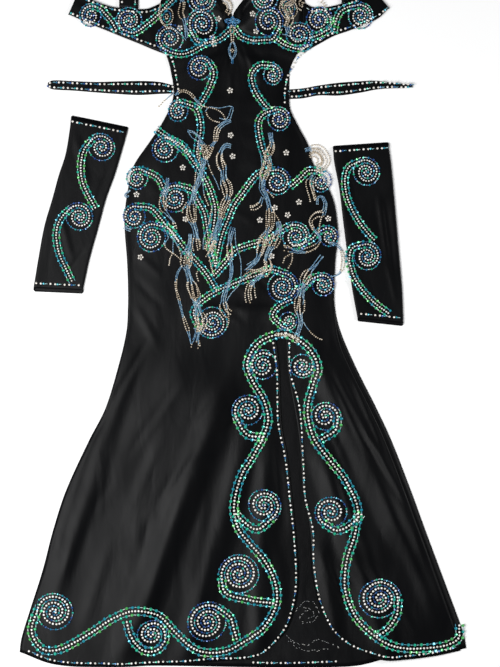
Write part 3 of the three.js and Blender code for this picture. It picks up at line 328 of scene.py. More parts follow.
# The bead strings by bundle, in the order in which they are laid
FRINGE: dict[str, tuple[Strings, ...]] = {
    "left_upper": (
        Strings(4, ((-24, 370), (-36, 365), (-48, 355), (-52, 344), (-54, 332), (-61, 321), (-67, 310), (-72, 299),
            (-78, 289)), ((0.28, 0.52), (0.66, 0.88))),
    ),
    "left_long": (
        Strings(5, ((-82, 328), (-78, 316), (-74, 299), (-78, 279), (-89, 250), (-96, 227), (-101, 205), (-99, 179),
            (-92, 156), (-89, 137), (-87, 116)), ((0.04, 0.15), (0.58, 0.72), (0.9, 1))),
    ),
    "left_lower": (
        Strings(6, ((-102, 149), (-103, 130), (-107, 111), (-109, 92), (-105, 72), (-100, 53), (-95, 33), (-90, 14),
            (-85, -5), (-82, -22), (-88, -44), (-94, -73)), ((0.18, 0.27), (0.43, 0.56), (0.71, 0.83), (0.95, 1))),
    ),
    "centre": (
        Strings(5, ((-24, 321), (-33, 322), (-42, 312), (-45, 295), (-38, 276), (-36, 256), (-30, 237), (-31, 218),
            (-39, 202), (-45, 179), (-52, 156), (-59, 140), (-65, 121), (-67, 105)),
            ((0.13, 0.24), (0.36, 0.46), (0.52, 0.66), (0.85, 0.95))),
    ),
    "right_long": (
        Strings(5, ((53, 346), (55, 324), (47, 305), (48, 286), (41, 263), (38, 240), (46, 224), (50, 205),
            (52, 185), (50, 163), (39, 143), (36, 121), (27, 100), (14, 88), (1, 77)),
            ((0.09, 0.16), (0.2, 0.3), (0.54, 0.65), (0.72, 0.83))),
        Strings(5, ((69, 173), (72, 159), (65, 143), (56, 124), (47, 105), (47, 79), (30, 65), (17, 53), (13, 37),
            (18, 15)), ((0.16, 0.28), (0.45, 0.6), (0.8, 1))),
    ),
    "right_hip": (
        Strings(3, ((156, 221), (161, 208), (156, 191), (142, 188), (131, 176), (136, 161), (146, 149), (149, 138),
            (142, 127), (125, 118), (106, 116), (87, 121), (74, 124)), ((0.17, 0.42), (0.6, 0.75), (0.9, 1))),
        Strings(2, ((144, 208), (146, 221), (156, 223)), ()),
        Strings(1, ((156, 191), (150, 172), (147, 153)), ((0.2, 1),)),
    ),
    "right_spiral": (
        Strings(4, ((136, 263), (130, 250), (133, 235), (139, 215)), ((0.2, 1),)),
    ),
    "right_lower": (
        Strings(5, ((153, 107), (142, 92), (127, 74), (118, 56), (113, 37), (109, 17), (109, -2), (112, -22),
            (107, -41), (103, -60)), ((0.22, 0.33), (0.53, 0.67), (0.96, 1))),
    ),
    "middle": (
        Strings(4, ((-19, 162), (-24, 147), (-27, 127), (-26, 105), (-22, 82), (-26, 59), (-33, 40), (-38, 20),
            (-34, 1), (-23, -9)), ((0.2, 0.33), (0.85, 1))),
        Strings(1, ((-17, 161), (-14, 134), (-6, 105), (-3, 75), (-8, 52), (-21, 36), (-32, 14), (-29, -9),
            (-28, -22), (-31, -31)), ((0.84, 1),)),
    ),
    "left_spiral": (
        Strings(3, ((-147, 258), (-148, 240), (-155, 221), (-155, 203), (-146, 188), (-135, 174), (-129, 160)),
            ((0.35, 0.6), (0.88, 1))),
    ),
    "left_hip": (
        Strings(1, ((-153, 159), (-145, 142), (-152, 131), (-149, 122), (-137, 114), (-129, 109), (-118, 99)),
            ((0.45, 1),)),
        Strings(1, ((-137, 146), (-132, 134), (-125, 122), (-118, 104)), ((0.5, 1),)),
        Strings(1, ((-135, 137), (-136, 126), (-136, 114), (-142, 103), (-145, 90)), ((0.5, 1),)),
    ),
    "left_waist": (
        Strings(2, ((-132, 421), (-120, 429), (-107, 426), (-94, 413), (-83, 401)), ((0.1, 0.7),)),
    ),
    "cup_left": (
        Strings(3, ((-119, 605), (-116, 592), (-118, 577), (-112, 562), (-110, 547), (-109, 529)), ((0.12, 0.5),)),
    ),
    "cup_right": (
        Strings(4, ((96, 603), (80, 588), (89, 569), (84, 551), (89, 538)), ((0, 0.8),)),
    ),
    "hip_loop_right": (
        Strings(4, ((122, 313), (134, 317), (147, 316), (157, 304), (160, 290), (151, 280), (140, 277)),
            ((0.15, 1),)),
        Strings(3, ((130, 303), (139, 306), (147, 301), (150, 292), (146, 285)), ((0, 1),)),
    ),
    STRAY: (
        Strings(4, ((-37, 603), (-30, 600), (-26, 592), (-27, 584), (-31, 578)), ((0, 1),)),
        Strings(4, ((113, 606), (108, 601), (109, 595), (116, 592)), ((0, 1),)),
        Strings(2, ((152, 604), (157, 600), (160, 594)), ((0, 1),)),
        Strings(1, ((-83, 401), (-72, 398), (-56, 394), (-39, 383), (-34, 374)), ((0, 1),)),
        Strings(1, ((-72, 388), (-67, 396), (-46, 396), (-20, 397), (-21, 383), (-25, 370)), ()),
        Strings(1, ((-72, 388), (-69, 379), (-58, 371), (-45, 368)), ((0, 1),)),
        Strings(1, ((-45, 376), (-33, 374), (-21, 396)), ()),
        Strings(2, ((-107, 350), (-96, 348), (-85, 338), (-80, 324)), ()),
        Strings(1, ((-107, 350), (-100, 337), (-88, 329)), ()),
        Strings(1, ((-90, 276), (-92, 256), (-95, 237), (-98, 224)), ((0.1, 0.7),)),
        Strings(1, ((-76, 272), (-82, 251), (-91, 236)), ()),
        Strings(1, ((-74, 263), (-76, 237), (-74, 221), (-68, 206)), ((0.6, 1),)),
        Strings(1, ((-70, 295), (-61, 269), (-52, 250), (-46, 237)), ((0.2, 0.5),)),
        Strings(3, ((37, 221), (32, 208), (22, 200), (13, 199)), ((0.35, 1),)),
        Strings(1, ((59, 192), (67, 180), (69, 172)), ((0, 1),)),
        Strings(1, ((41, 237), (51, 231), (59, 221)), ((0, 1),)),
        Strings(2, ((-1, 62), (14, 74), (32, 79), (45, 81)), ((0.1, 0.9),)),
        Strings(1, ((6, 82), (25, 80), (40, 86)), ((0, 1),)),
        Strings(1, ((94, 112), (83, 104), (80, 94)), ((0, 1),)),
        Strings(1, ((95, 112), (94, 96), (89, 84)), ((0, 1),)),
        Strings(1, ((-88, 79), (-91, 72), (-87, 59)), ((0, 1),)),
        Strings(1, ((-110, 210), (-115, 201), (-117, 192)), ((0, 1),)),
        Strings(1, ((113, -16), (129, -38), (142, -49), (154, -54)), ((0.45, 1),)),
        Strings(2, ((-118, 88), (-127, 74), (-130, 50), (-124, 20), (-118, -5), (-110, -31), (-98, -73)),
            ((0.2, 0.4), (0.62, 0.78))),
        Strings(1, ((-65, 105), (-61, 85), (-58, 72)), ((0, 1),)),
        Strings(1, ((-52, 153), (-59, 127), (-72, 105)), ((0.5, 1),)),
        Strings(2, ((65, -45), (77, -47), (90, -46), (100, -51)), ((0, 1),)),
        Strings(2, ((-220, 235), (-230, 227), (-228, 222), (-221, 224)), ()),
        Strings(3, ((-230, 164), (-224, 160), (-217, 158)), ()),
        Strings(1, ((-59, 205), (-65, 179), (-75, 147), (-76, 121)), ((0.1, 0.4),)),
        Strings(1, ((33, 308), (36, 292), (37, 269)), ()),
        Strings(1, ((138, 59), (122, 40), (116, 14)), ()),
        Strings(1, ((-135, 426), (-148, 414), (-165, 398)), ((0.5, 1),)),
        Strings(1, ((-161, 597), (-162, 573), (-152, 554), (-137, 551), (-118, 536), (-111, 528)), ((0, 0.6),)),
        Strings(1, ((77, 539), (94, 534), (109, 526), (120, 528)), ()),
    ),
    "side_loop_right": (
        Strings(2, ((168, 132), (182, 128), (193, 112), (194, 90), (186, 72), (168, 66)), ((0.3, 0.7),)),
    ),
}


class SmoothTable:
    """A smooth curve through a table: one column's value at any place along another."""

    def __init__(self, at: Sequence[float], value: Sequence[float]) -> None:
        """Sorts the table and finds the slope at each place.

        Args:
            at: The places along the table.
            value: The value at each of them.
        """
        order = np.argsort(at)
        self.at = np.asarray(at, float)[order]
        self.value = np.asarray(value, float)[order]
        before = np.maximum(np.arange(len(order)) - 1, 0)
        after = np.minimum(np.arange(len(order)) + 1, len(order) - 1)
        self.slope = (self.value[after] - self.value[before]) / (self.at[after] - self.at[before])

    def __call__(self, place: float | np.ndarray) -> float | np.ndarray:
        """Reads the curve.

        Args:
            place: One place or many.

        Returns:
            The value at each place, held at the table's ends.
        """
        here = np.clip(place, self.at[0], self.at[-1])
        k = np.clip(np.searchsorted(self.at, here, side="right") - 1, 0, len(self.at) - 2)
        span = self.at[k + 1] - self.at[k]
        t = (here - self.at[k]) / span
        ease = t * t * (3 - 2 * t)
        lean = t * (1 - t) * ((1 - t) * self.slope[k] - t * self.slope[k + 1]) * span
        return self.value[k] + (self.value[k + 1] - self.value[k]) * ease + lean


def column(rows: Sequence[Sequence[float]], at: int, value: int) -> SmoothTable:
    """The smooth curve of one column of a table along another.

    Args:
        rows: The table.
        at: Which column holds the places.
        value: Which column holds the values.

    Returns:
        The curve.
    """
    return SmoothTable([row[at] for row in rows], [row[value] for row in rows])


def smoothstep(x: float | np.ndarray, low: float, high: float) -> float | np.ndarray:
    """A soft step from 0 at low to 1 at high.

    Args:
        x: Where to read it.
        low: Where the step starts.
        high: Where it ends.

    Returns:
        The height of the step.
    """
    t = np.clip((np.asarray(x, float) - low) / (high - low), 0, 1)
    return t * t * (3 - 2 * t)


def blend(t: np.ndarray, start: float, end: float, first: np.ndarray, last: np.ndarray) -> np.ndarray:
    """The straight mix of two points that reaches the first at start and the last at end."""
    return (end - t) / (end - start) * first + (t - start) / (end - start) * last


def smooth_path(places: Sequence[Sequence[float]], step: float = LINE_STEP) -> np.ndarray:
    """A smooth open line through places, resampled at even steps.

    Args:
        places: The places, each with two or three coordinates.
        step: The distance between the points of the result.

    Returns:
        One row for each point.
    """
    p = np.asarray(places, float)
    if len(p) < 3:
        dense = np.linspace(p[0], p[-1], SPAN_POINTS)
    else:
        p = np.vstack([2 * p[0] - p[1], p, 2 * p[-1] - p[-2]])
        knots = np.r_[0, np.cumsum(np.maximum(np.linalg.norm(np.diff(p, axis=0), axis=1), 1e-6) ** 0.5)]
        dense = []
        for i in range(1, len(p) - 2):
            t = np.linspace(knots[i], knots[i + 1], SPAN_POINTS, endpoint=False)[:, None]
            k = knots[i - 1 : i + 3]
            a1, a2, a3 = (blend(t, k[j], k[j + 1], p[i - 1 + j], p[i + j]) for j in range(3))
            b1, b2 = blend(t, k[0], k[2], a1, a2), blend(t, k[1], k[3], a2, a3)
            dense.append(blend(t, k[1], k[2], b1, b2))
        dense = np.vstack([*dense, p[-2][None]])
    return even_steps(dense, step)


def even_steps(line: np.ndarray, step: float) -> np.ndarray:
    """Resamples a line at even steps.

    Args:
        line: The line's points.
        step: The distance between the points of the result.

    Returns:
        The resampled line, with both ends kept.
    """
    along = np.r_[0, np.cumsum(np.linalg.norm(np.diff(line, axis=0), axis=1))]
    count = max(2, round(along[-1] / step) + 1)
    at = np.linspace(0, along[-1], count)
    return np.column_stack([np.interp(at, along, line[:, k]) for k in range(line.shape[1])])


def beside(line: np.ndarray, distance: float) -> np.ndarray:
    """A line that runs beside another in plan.

    Args:
        line: The line to follow.
        distance: How far to the left of its direction.

    Returns:
        The shifted line.
    """
    along = np.gradient(line[:, :2], axis=0)
    along /= np.maximum(np.linalg.norm(along, axis=1, keepdims=True), 1e-9)
    moved = line.copy()
    moved[:, 0] -= along[:, 1] * distance
    moved[:, 1] += along[:, 0] * distance
    return moved


class DressShape:
    """Where the dress lies: its outline, its slit and the height of its folds."""

    LOFT = 3
    LOFT_MARGIN = 60
    RIM = 0.3

    def __init__(self) -> None:
        """Draws the smooth curves through the dress's tables."""
        self.left = column(SIDES, 0, 1)
        self.right = column(SIDES, 0, 2)
        self.slit_left = column(SLIT, 0, 1)
        self.slit_right = column(SLIT, 0, 2)
        self.top_edge = column(TOP_EDGE, 0, 1)
        self.front_hem = column(HEM, 0, 1)
        self.back_hem = column(HEM, 0, 2)

    def seam_side(self, y: float) -> float:
        """The front's right edge, which stops short of the silhouette below the hips."""
        return float(self.right(y) - SEAM_INSET * (1 - smoothstep(y, -90, 20)))

    def ridges(self, x: np.ndarray, y: np.ndarray, table: Sequence[Sequence[float]], rise: float) -> np.ndarray:
        """Sums the soft ridges and troughs of a table.

        Args:
            x: Places across.
            y: Levels.
            table: Rows of two ends, half width and height.
            rise: The share of a ridge's length over which its ends rise.

        Returns:
            The height at each place, in millimetres.
        """
        total = np.zeros_like(x, float)
        for x1, y1, x2, y2, half, height in table:
            along = np.array((x2 - x1, y2 - y1), float)
            length = float(np.linalg.norm(along))
            s = ((x - x1) * along[0] + (y - y1) * along[1]) / length**2
            aside = np.abs((x - x1) * along[1] - (y - y1) * along[0]) / length
            ends = smoothstep(s, 0, rise) * smoothstep(1 - s, 0, rise)
            across = np.cos(np.clip(aside / half, 0, 1) * math.pi / 2) ** 2
            total += np.where((s > 0) & (s < 1), height * ends * across, 0)
        return total

    def front_height(self, x: np.ndarray, y: np.ndarray, depth: np.ndarray, left: float, right: float) -> np.ndarray:
        """Height of the front's middle surface along one row.

        Args:
            x: Places across.
            y: Their levels.
            depth: How far each lies below the underbust seam.
            left: The row's left side.
            right: The row's right side.

        Returns:
            Heights in millimetres.
        """
        on_back = 1 - smoothstep(y, BACK_TOP + 17, BACK_TOP + 44)
        on_cups = 1 - smoothstep(depth, 14, 30)
        under = LAYER * np.maximum(on_back, on_cups)
        margin = self.LOFT_MARGIN
        sides = np.minimum(x - left, right - x)
        to_slit = np.minimum(np.abs(x - self.slit_left(y)), np.abs(x - self.slit_right(y)))
        slit = np.where(y < SLIT_TOP, to_slit, margin)
        loft = self.LOFT * smoothstep(sides / margin, 0, 1) * smoothstep(slit / margin, -0.4, 1)
        loft *= smoothstep(depth, 14, TOP_DEPTH)
        wave = self.ridges(x, y, FOLDS, 0.2) + self.ridges(x, y, CREASES, 0.35) * smoothstep(depth, 4, 24)
        fine = 0.35 * np.sin(x / 21 + y / 57) * np.sin(y / 33 - x / 49) + 0.2 * np.sin(x / 9.5 - y / 40)
        rim = self.RIM * (1 - smoothstep(np.minimum(sides, slit), 5, 8))
        return np.maximum(under + loft + wave + fine * smoothstep(depth, 10, 60), under) + rim + CLOTH / 2


def linked(name: str, data: bpy.types.ID) -> bpy.types.Object:
    """Puts a mesh, a lamp or a camera into the scene as an object of its own."""
    made = bpy.data.objects.new(name, data)
    bpy.context.scene.collection.objects.link(made)
    return made


def new_object(name: str, points: np.ndarray, faces: Sequence[Sequence[int]]) -> bpy.types.Object:
    """Makes a mesh object from points in millimetres.

    Args:
        name: The piece's name.
        points: One row for each point.
        faces: The corners of each face, or pairs of corners for bare lines.

    Returns:
        The linked object.
    """
    mesh = bpy.data.meshes.new(name)
    lines = len(faces) > 0 and len(faces[0]) == 2
    mesh.from_pydata((points * MM).tolist(), faces if lines else [], [] if lines else faces)
    mesh.update()
    mesh.shade_smooth()
    return linked(name, mesh)


def lattice_faces(rows: int, columns: int, joined: bool = False,
                  gap: tuple[int, int] | None = None) -> list[list[int]]:
    """The four-sided faces of a lattice.

    Args:
        rows: How many rows of points.
        columns: How many points in a row.
        joined: Whether each row closes on itself.
        gap: A first row and a column whose cells are left out from there down.

    Returns:
        The corners of each face.
    """
    cells = columns if joined else columns - 1
    faces = []
    for r in range(rows - 1):
        for c in range(cells):
            if gap and r >= gap[0] and c == gap[1]:
                continue
            n = (c + 1) % columns
            faces.append([r * columns + c, (r + 1) * columns + c, (r + 1) * columns + n, r * columns + n])
    return faces


def thicken(piece: bpy.types.Object, thickness: float) -> None:
    """Gives a middle surface its cloth thickness, half to each side.

    Args:
        piece: The surface.
        thickness: In millimetres.
    """
    wall = piece.modifiers.new("cloth", "SOLIDIFY")
    wall.thickness = thickness * MM
    wall.offset = 0.0
    wall.use_even_offset = True


def closed_faces(rows: int, columns: int, joined: bool) -> list[list[int]]:
    """The faces of a closed body between an upper and a lower lattice, the upper one first.

    Args:
        rows: How many rows of points in each.
        columns: How many points in a row.
        joined: Whether each row closes on itself.

    Returns:
        The corners of each face.
    """
    upper = lattice_faces(rows, columns, joined)
    shift = rows * columns
    lower = [[c + shift for c in reversed(face)] for face in upper]
    edge = [(c, (c + 1) % columns) for c in range(columns if joined else columns - 1)]
    last = (rows - 1) * columns
    rim = [[last + a, last + a + shift, last + b + shift, last + b] for a, b in edge]
    if not joined:
        rim += [[b, b + shift, a + shift, a] for a, b in edge]
        for r in range(rows - 1):
            a, b = r * columns, (r + 1) * columns
            rim.append([a, a + shift, b + shift, b])
            a, b = a + columns - 1, b + columns - 1
            rim.append([b, b + shift, a + shift, a])
    return [*upper, *lower, *rim]


def plain_normals(piece: bpy.types.Object) -> None:
    """Merges doubled corners and points every face outwards.

    Args:
        piece: A closed body.
    """
    work = bmesh.new()
    work.from_mesh(piece.data)
    bmesh.ops.remove_doubles(work, verts=work.verts, dist=1e-6)
    bmesh.ops.recalc_face_normals(work, faces=work.faces)
    work.to_mesh(piece.data)
    work.free()
    piece.data.shade_smooth()


class Graph:
    """A node tree that is filled by name, with its links made at once."""

    def __init__(self, tree: bpy.types.NodeTree) -> None:
        """Takes an empty tree.

        Args:
            tree: The tree to fill.
        """
        self.tree = tree

    def node(self, kind: str, links: dict[str | int, object] | None = None, **settings: object) -> bpy.types.Node:
        """Adds a node.

        Args:
            kind: The node's type.
            links: For each input, by name or number, a socket to link or a value to set.
            **settings: The node's own properties.

        Returns:
            The node.
        """
        made = self.tree.nodes.new(kind)
        for name, value in settings.items():
            setattr(made, name, value)
        for name, value in (links or {}).items():
            socket = made.inputs[name]
            if isinstance(value, bpy.types.NodeSocket):
                self.tree.links.new(value, socket)
            else:
                socket.default_value = value
        return made

    def math(self, operation: str, *values: object) -> bpy.types.NodeSocket:
        """A sum of one or two values; returns its result."""
        return self.node("ShaderNodeMath", dict(enumerate(values)), operation=operation).outputs[0]

    def mix(self, share: object, low: object, high: object) -> bpy.types.NodeSocket:
        """A blend of two colours; returns its result."""
        return self.node("ShaderNodeMix", {0: share, 6: low, 7: high}, data_type="RGBA").outputs[2]

    def random(self, kind: str, low: object, high: object, seed: object) -> bpy.types.NodeSocket:
        """A random value for each point or bead.

        Args:
            kind: FLOAT or FLOAT_VECTOR.
            low: Its lower limit.
            high: Its upper limit.
            seed: Fixes what is random.

        Returns:
            The socket that puts it out.
        """
        lowest, result = (2, 1) if kind == "FLOAT" else (0, 0)
        limits = {lowest: low, lowest + 1: high, "Seed": seed}
        return self.node("FunctionNodeRandomValue", limits, data_type=kind).outputs[result]

    def sockets(self, rows: Sequence[tuple[str, str, object]], into: bool = True) -> dict[str, str]:
        """Adds inputs or outputs to a node group.

        Args:
            rows: For each its name, the end of its type's name, such as Float, and its default.
            into: Whether they are inputs.

        Returns:
            The identifier of each by its name.
        """
        keys = {}
        for name, kind, value in rows:
            made = self.tree.interface.new_socket(
                name, in_out="INPUT" if into else "OUTPUT", socket_type=f"NodeSocket{kind}")
            if value is not None:
                made.default_value = value
            keys[name] = made.identifier
        return keys


@cache
def cloth_group() -> bpy.types.ShaderNodeTree:
    """The effect that all the cloth shares: knit lines, soft wrinkles and broad random patches of a darker and a
    lighter black.

    Returns:
        A shader group that puts out a colour, a roughness and a height.
    """
    g = Graph(bpy.data.node_groups.new("knit_and_wrinkles", "ShaderNodeTree"))
    g.sockets((
        ("Vector", "Vector", None), ("Dark", "Color", None), ("Light", "Color", None), ("Knit Size", "Float", 0.0009),
        ("Knit Depth", "Float", 0.012), ("Wrinkle Depth", "Float", 0.6), ("Smoothest", "Float", 0.36),
        ("Roughest", "Float", 0.52)))
    g.sockets((("Color", "Color", None), ("Roughness", "Float", None), ("Height", "Float", None)), into=False)
    inputs = g.node("NodeGroupInput").outputs
    place = inputs["Vector"]
    per_knit = g.math("DIVIDE", 1.0, inputs["Knit Size"])
    fine = g.node("ShaderNodeVectorMath", {0: place, "Scale": per_knit}, operation="SCALE").outputs[0]
    ribs, loops = (
        g.node("ShaderNodeTexWave", {"Vector": fine, "Scale": 0.32, "Distortion": distortion, "Detail": 1.0},
               bands_direction=direction).outputs["Fac"]
        for direction, distortion in (("X", 0.6), ("Y", 0.4)))
    knit = g.math("MULTIPLY", g.math("MULTIPLY", ribs, loops), inputs["Knit Depth"])
    stretched = g.node("ShaderNodeVectorMath", {0: place, 1: (26.0, 9.0, 20.0)}, operation="MULTIPLY").outputs[0]
    soft = g.node("ShaderNodeTexNoise", {
        "Vector": stretched, "Scale": 1.0, "Detail": 3.0, "Roughness": 0.45, "Distortion": 0.6}).outputs["Fac"]
    broad = g.node("ShaderNodeTexNoise", {"Vector": place, "Scale": 7.0, "Detail": 2.0}).outputs["Fac"]
    rough = g.node("ShaderNodeMapRange", {
        "Value": soft, "From Min": 0.3, "From Max": 0.7, "To Min": inputs["Smoothest"], "To Max": inputs["Roughest"]})
    g.node("NodeGroupOutput", {
        "Color": g.mix(broad, inputs["Dark"], inputs["Light"]), "Roughness": rough.outputs["Result"],
        "Height": g.math("ADD", knit, g.math("MULTIPLY", soft, inputs["Wrinkle Depth"]))})
    return g.tree


@cache
def bead_group() -> bpy.types.ShaderNodeTree:
    """The effect that all the beads share: each bead's own tint, with runs of like colours.

    Returns:
        A shader group that puts out a colour and a roughness.
    """
    g = Graph(bpy.data.node_groups.new("bead_tints", "ShaderNodeTree"))
    g.sockets((
        ("Vector", "Vector", None), ("Tint", "Float", 0.5), ("First", "Color", None), ("Second", "Color", None),
        ("Third", "Color", None), ("Rough", "Float", 0.2)))
    g.sockets((("Color", "Color", None), ("Roughness", "Float", None)), into=False)
    inputs = g.node("NodeGroupInput").outputs
    runs = g.node("ShaderNodeTexNoise", {"Vector": inputs["Vector"], "Scale": 28.0, "Detail": 1.0}).outputs["Fac"]
    drift = g.math("MULTIPLY", g.math("SUBTRACT", runs, 0.5), 1.3)
    mixed = g.math("ADD", inputs["Tint"], drift)
    low, high = (
        g.node("ShaderNodeMapRange", {"Value": mixed, "From Min": start, "From Max": end}).outputs[0]
        for start, end in ((0.2, 0.5), (0.62, 0.9)))
    first = g.mix(low, inputs["First"], inputs["Second"])
    g.node("NodeGroupOutput", {
        "Color": g.mix(high, first, inputs["Third"]),
        "Roughness": g.math("ADD", inputs["Rough"], g.math("MULTIPLY", inputs["Tint"], 0.08))})
    return g.tree


Colour = tuple[float, float, float]


@dataclass(frozen=True)
class Finish:
    """What a piece is made of; each kind of finish builds its own surface."""

    name: str

    def material(self) -> bpy.types.Material:
        """Builds the material, or returns it if it is there."""
        made = bpy.data.materials.get(self.name)
        if made is None:
            made = bpy.data.materials.new(self.name)
            made.use_nodes = True
            made.node_tree.nodes.clear()
            g = Graph(made.node_tree)
            g.node("ShaderNodeOutputMaterial", {"Surface": self.surface(g).outputs[0]})
        return made

    def surface(self, g: Graph) -> bpy.types.Node:
        """The shader node of the finish, in its material's tree."""
        raise NotImplementedError


@dataclass(frozen=True)
class ClothFinish(Finish):
    """A black stretch satin."""

    dark: Colour = (0.0008, 0.0009, 0.0012)
    light: Colour = (0.0022, 0.0024, 0.003)
    knit_size: float = 0.0009
    wrinkle: float = 0.6
    smoothest: float = 0.37
    roughest: float = 0.48

    def surface(self, g: Graph) -> bpy.types.Node:
        """The shader node of the satin, in its material's tree."""
        effect = g.node("ShaderNodeGroup", {
            "Vector": g.node("ShaderNodeTexCoord").outputs["Object"], "Dark": (*self.dark, 1),
            "Light": (*self.light, 1), "Knit Size": self.knit_size, "Wrinkle Depth": self.wrinkle,
            "Smoothest": self.smoothest, "Roughest": self.roughest}, node_tree=cloth_group()).outputs
        bump = g.node("ShaderNodeBump", {"Strength": 0.5, "Distance": 0.004, "Height": effect["Height"]})
        return g.node("ShaderNodeBsdfPrincipled", {
            "Base Color": effect["Color"], "Roughness": effect["Roughness"], "Normal": bump.outputs[0],
            "Specular IOR Level": 0.1, "Sheen Weight": 0.015, "Sheen Roughness": 0.4,
            "Sheen Tint": (0.75, 0.78, 0.9, 1)})


@dataclass(frozen=True)
class BeadFinish(Finish):
    """The finish of one kind of bead: its three tints, its roughness, and its shares of metal and of coat."""

    first: Colour
    second: Colour
    third: Colour
    rough: float = 0.2
    metallic: float = 0.0
    coat: float = 0.0

    def surface(self, g: Graph) -> bpy.types.Node:
        """The shader node of the beads, in its material's tree."""
        effect = g.node("ShaderNodeGroup", {
            "Vector": g.node("ShaderNodeTexCoord").outputs["Object"],
            "Tint": g.node("ShaderNodeAttribute", attribute_name="tint").outputs["Fac"],
            "First": (*self.first, 1), "Second": (*self.second, 1), "Third": (*self.third, 1),
            "Rough": self.rough}, node_tree=bead_group()).outputs
        return g.node("ShaderNodeBsdfPrincipled", {
            "Base Color": effect["Color"], "Roughness": effect["Roughness"], "Metallic": self.metallic,
            "Coat Weight": self.coat, "Coat Roughness": 0.08})


SATIN = ClothFinish("dress_satin")
CUP_SATIN = ClothFinish("cup_satin", wrinkle=0.45)
PEARL_FINISH = BeadFinish("silver_pearl", (0.74, 0.7, 0.64), (0.88, 0.85, 0.8), (0.97, 0.95, 0.92), 0.2, 0.1, 0.5)
BEIGE_FINISH = BeadFinish("beige_pearl", (0.42, 0.34, 0.24), (0.62, 0.53, 0.41), (0.78, 0.7, 0.58), 0.24, 0.1, 0.4)
CRYSTAL_FINISH = BeadFinish("teal_crystal", (0.02, 0.34, 0.46), (0.02, 0.56, 0.36), (0.1, 0.56, 0.14), 0.12, 0.35, 1)
BLUE_CRYSTAL_FINISH = BeadFinish(
    "blue_crystal", (0.02, 0.09, 0.34), (0.02, 0.36, 0.46), (0.03, 0.5, 0.3), 0.12, 0.3, 1)
BUGLE_FINISH = BeadFinish("teal_bugle", (0.06, 0.26, 0.36), (0.3, 0.5, 0.52), (0.7, 0.78, 0.76), 0.14, 0.2, 0.8)
BLUE_BUGLE_FINISH = BeadFinish(
    "blue_bugle", (0.01, 0.03, 0.12), (0.08, 0.17, 0.3), (0.45, 0.58, 0.64), 0.14, 0.2, 0.8)
SEED_FINISH = BeadFinish("blue_seed", (0.1, 0.22, 0.37), (0.19, 0.36, 0.5), (0.4, 0.56, 0.66), 0.22, 0.05, 0.5)
BOW_FINISH = BeadFinish("bow_blue", (0.015, 0.1, 0.26), (0.03, 0.19, 0.42), (0.1, 0.34, 0.58), 0.18, 0.1, 0.8)
THREAD_FINISH = BeadFinish("thread", (0.3, 0.31, 0.33), (0.5, 0.5, 0.5), (0.75, 0.74, 0.7), 0.6)


class BeadForm(Enum):
    """How a bead is cut."""

    ROUND = "round"
    CUT = "cut"
    TUBE = "tube"


@dataclass(frozen=True)
class Bead:
    """One kind of bead: its form, its size in millimetres and its finish."""

    name: str
    form: BeadForm
    length: float
    width: float
    finish: BeadFinish
    wander: float = 0.3


PEARL = Bead("pearl", BeadForm.ROUND, 4.4, 4.4, PEARL_FINISH)
CRYSTAL = Bead("crystal", BeadForm.CUT, 6.2, 6.6, CRYSTAL_FINISH)
BUGLE = Bead("bugle", BeadForm.TUBE, 5.8, 1.8, BUGLE_FINISH)
SMALL_PEARL = Bead("small_pearl", BeadForm.ROUND, 3.5, 3.6, PEARL_FINISH)
SMALL_CRYSTAL = Bead("small_crystal", BeadForm.CUT, 5.3, 5.6, CRYSTAL_FINISH)
SHORT_BUGLE = Bead("short_bugle", BeadForm.TUBE, 4.8, 1.7, BUGLE_FINISH)
RIM_CRYSTAL = Bead("rim_crystal", BeadForm.CUT, 4.2, 4.4, BLUE_CRYSTAL_FINISH)
RIM_BUGLE = Bead("rim_bugle", BeadForm.TUBE, 5.4, 2.0, BLUE_BUGLE_FINISH)
SEED_BEAD = Bead("seed", BeadForm.TUBE, 1.8, 1.7, SEED_FINISH)
STRING_PEARL = Bead("string_pearl", BeadForm.ROUND, 3.1, 2.9, BEIGE_FINISH)
BOW_BEAD = Bead("bow_bead", BeadForm.TUBE, 1.9, 1.9, BOW_FINISH)
STITCH = Bead("stitch", BeadForm.TUBE, 2.6, 0.7, THREAD_FINISH, 1.8)


class RowKind(Enum):
    """How beads follow each other along a row: the pitch, the cycle, and each bead's places in the cycle."""

    PEARLS = (6.5, 1, ((PEARL, 0, 0),))
    SIDE = (6.1, 2, ((CRYSTAL, 0, 0), (BUGLE, 1, 1)))
    FINE_PEARLS = (5.2, 1, ((SMALL_PEARL, 0, 0),))
    FINE_SIDE = (5.1, 2, ((SMALL_CRYSTAL, 0, 0), (SHORT_BUGLE, 1, 1)))
    COIL = (5.0, 2, ((RIM_CRYSTAL, 0, 0), (RIM_BUGLE, 1, 1)))
    TRIM = (4.4, 6, ((PEARL, 0, 2), (RIM_CRYSTAL, 3, 3), (BUGLE, 4, 4)))
    BOW = (2.0, 1, ((BOW_BEAD, 0, 0),))
    STITCHES = (3.4, 3, ((STITCH, 0, 1),))
    SEEDS = (1.9, 1, ((SEED_BEAD, 0, 0),))
    STRUNG = (3.9, 1, ((STRING_PEARL, 0, 0),))


# Small oval leaves on the cups: row, across, level, half width, half length
CUP_LEAVES = (
    (RowKind.STRUNG, -147, 573, 13, 16), (RowKind.COIL, -147, 573, 8, 11), (RowKind.STRUNG, -147, 573, 3, 5),
    (RowKind.STRUNG, 87, 586, 17, 19), (RowKind.COIL, 87, 586, 12, 14), (RowKind.STRUNG, 87, 585, 8, 9.5),
    (RowKind.COIL, 87, 585, 3.5, 4.5),
)


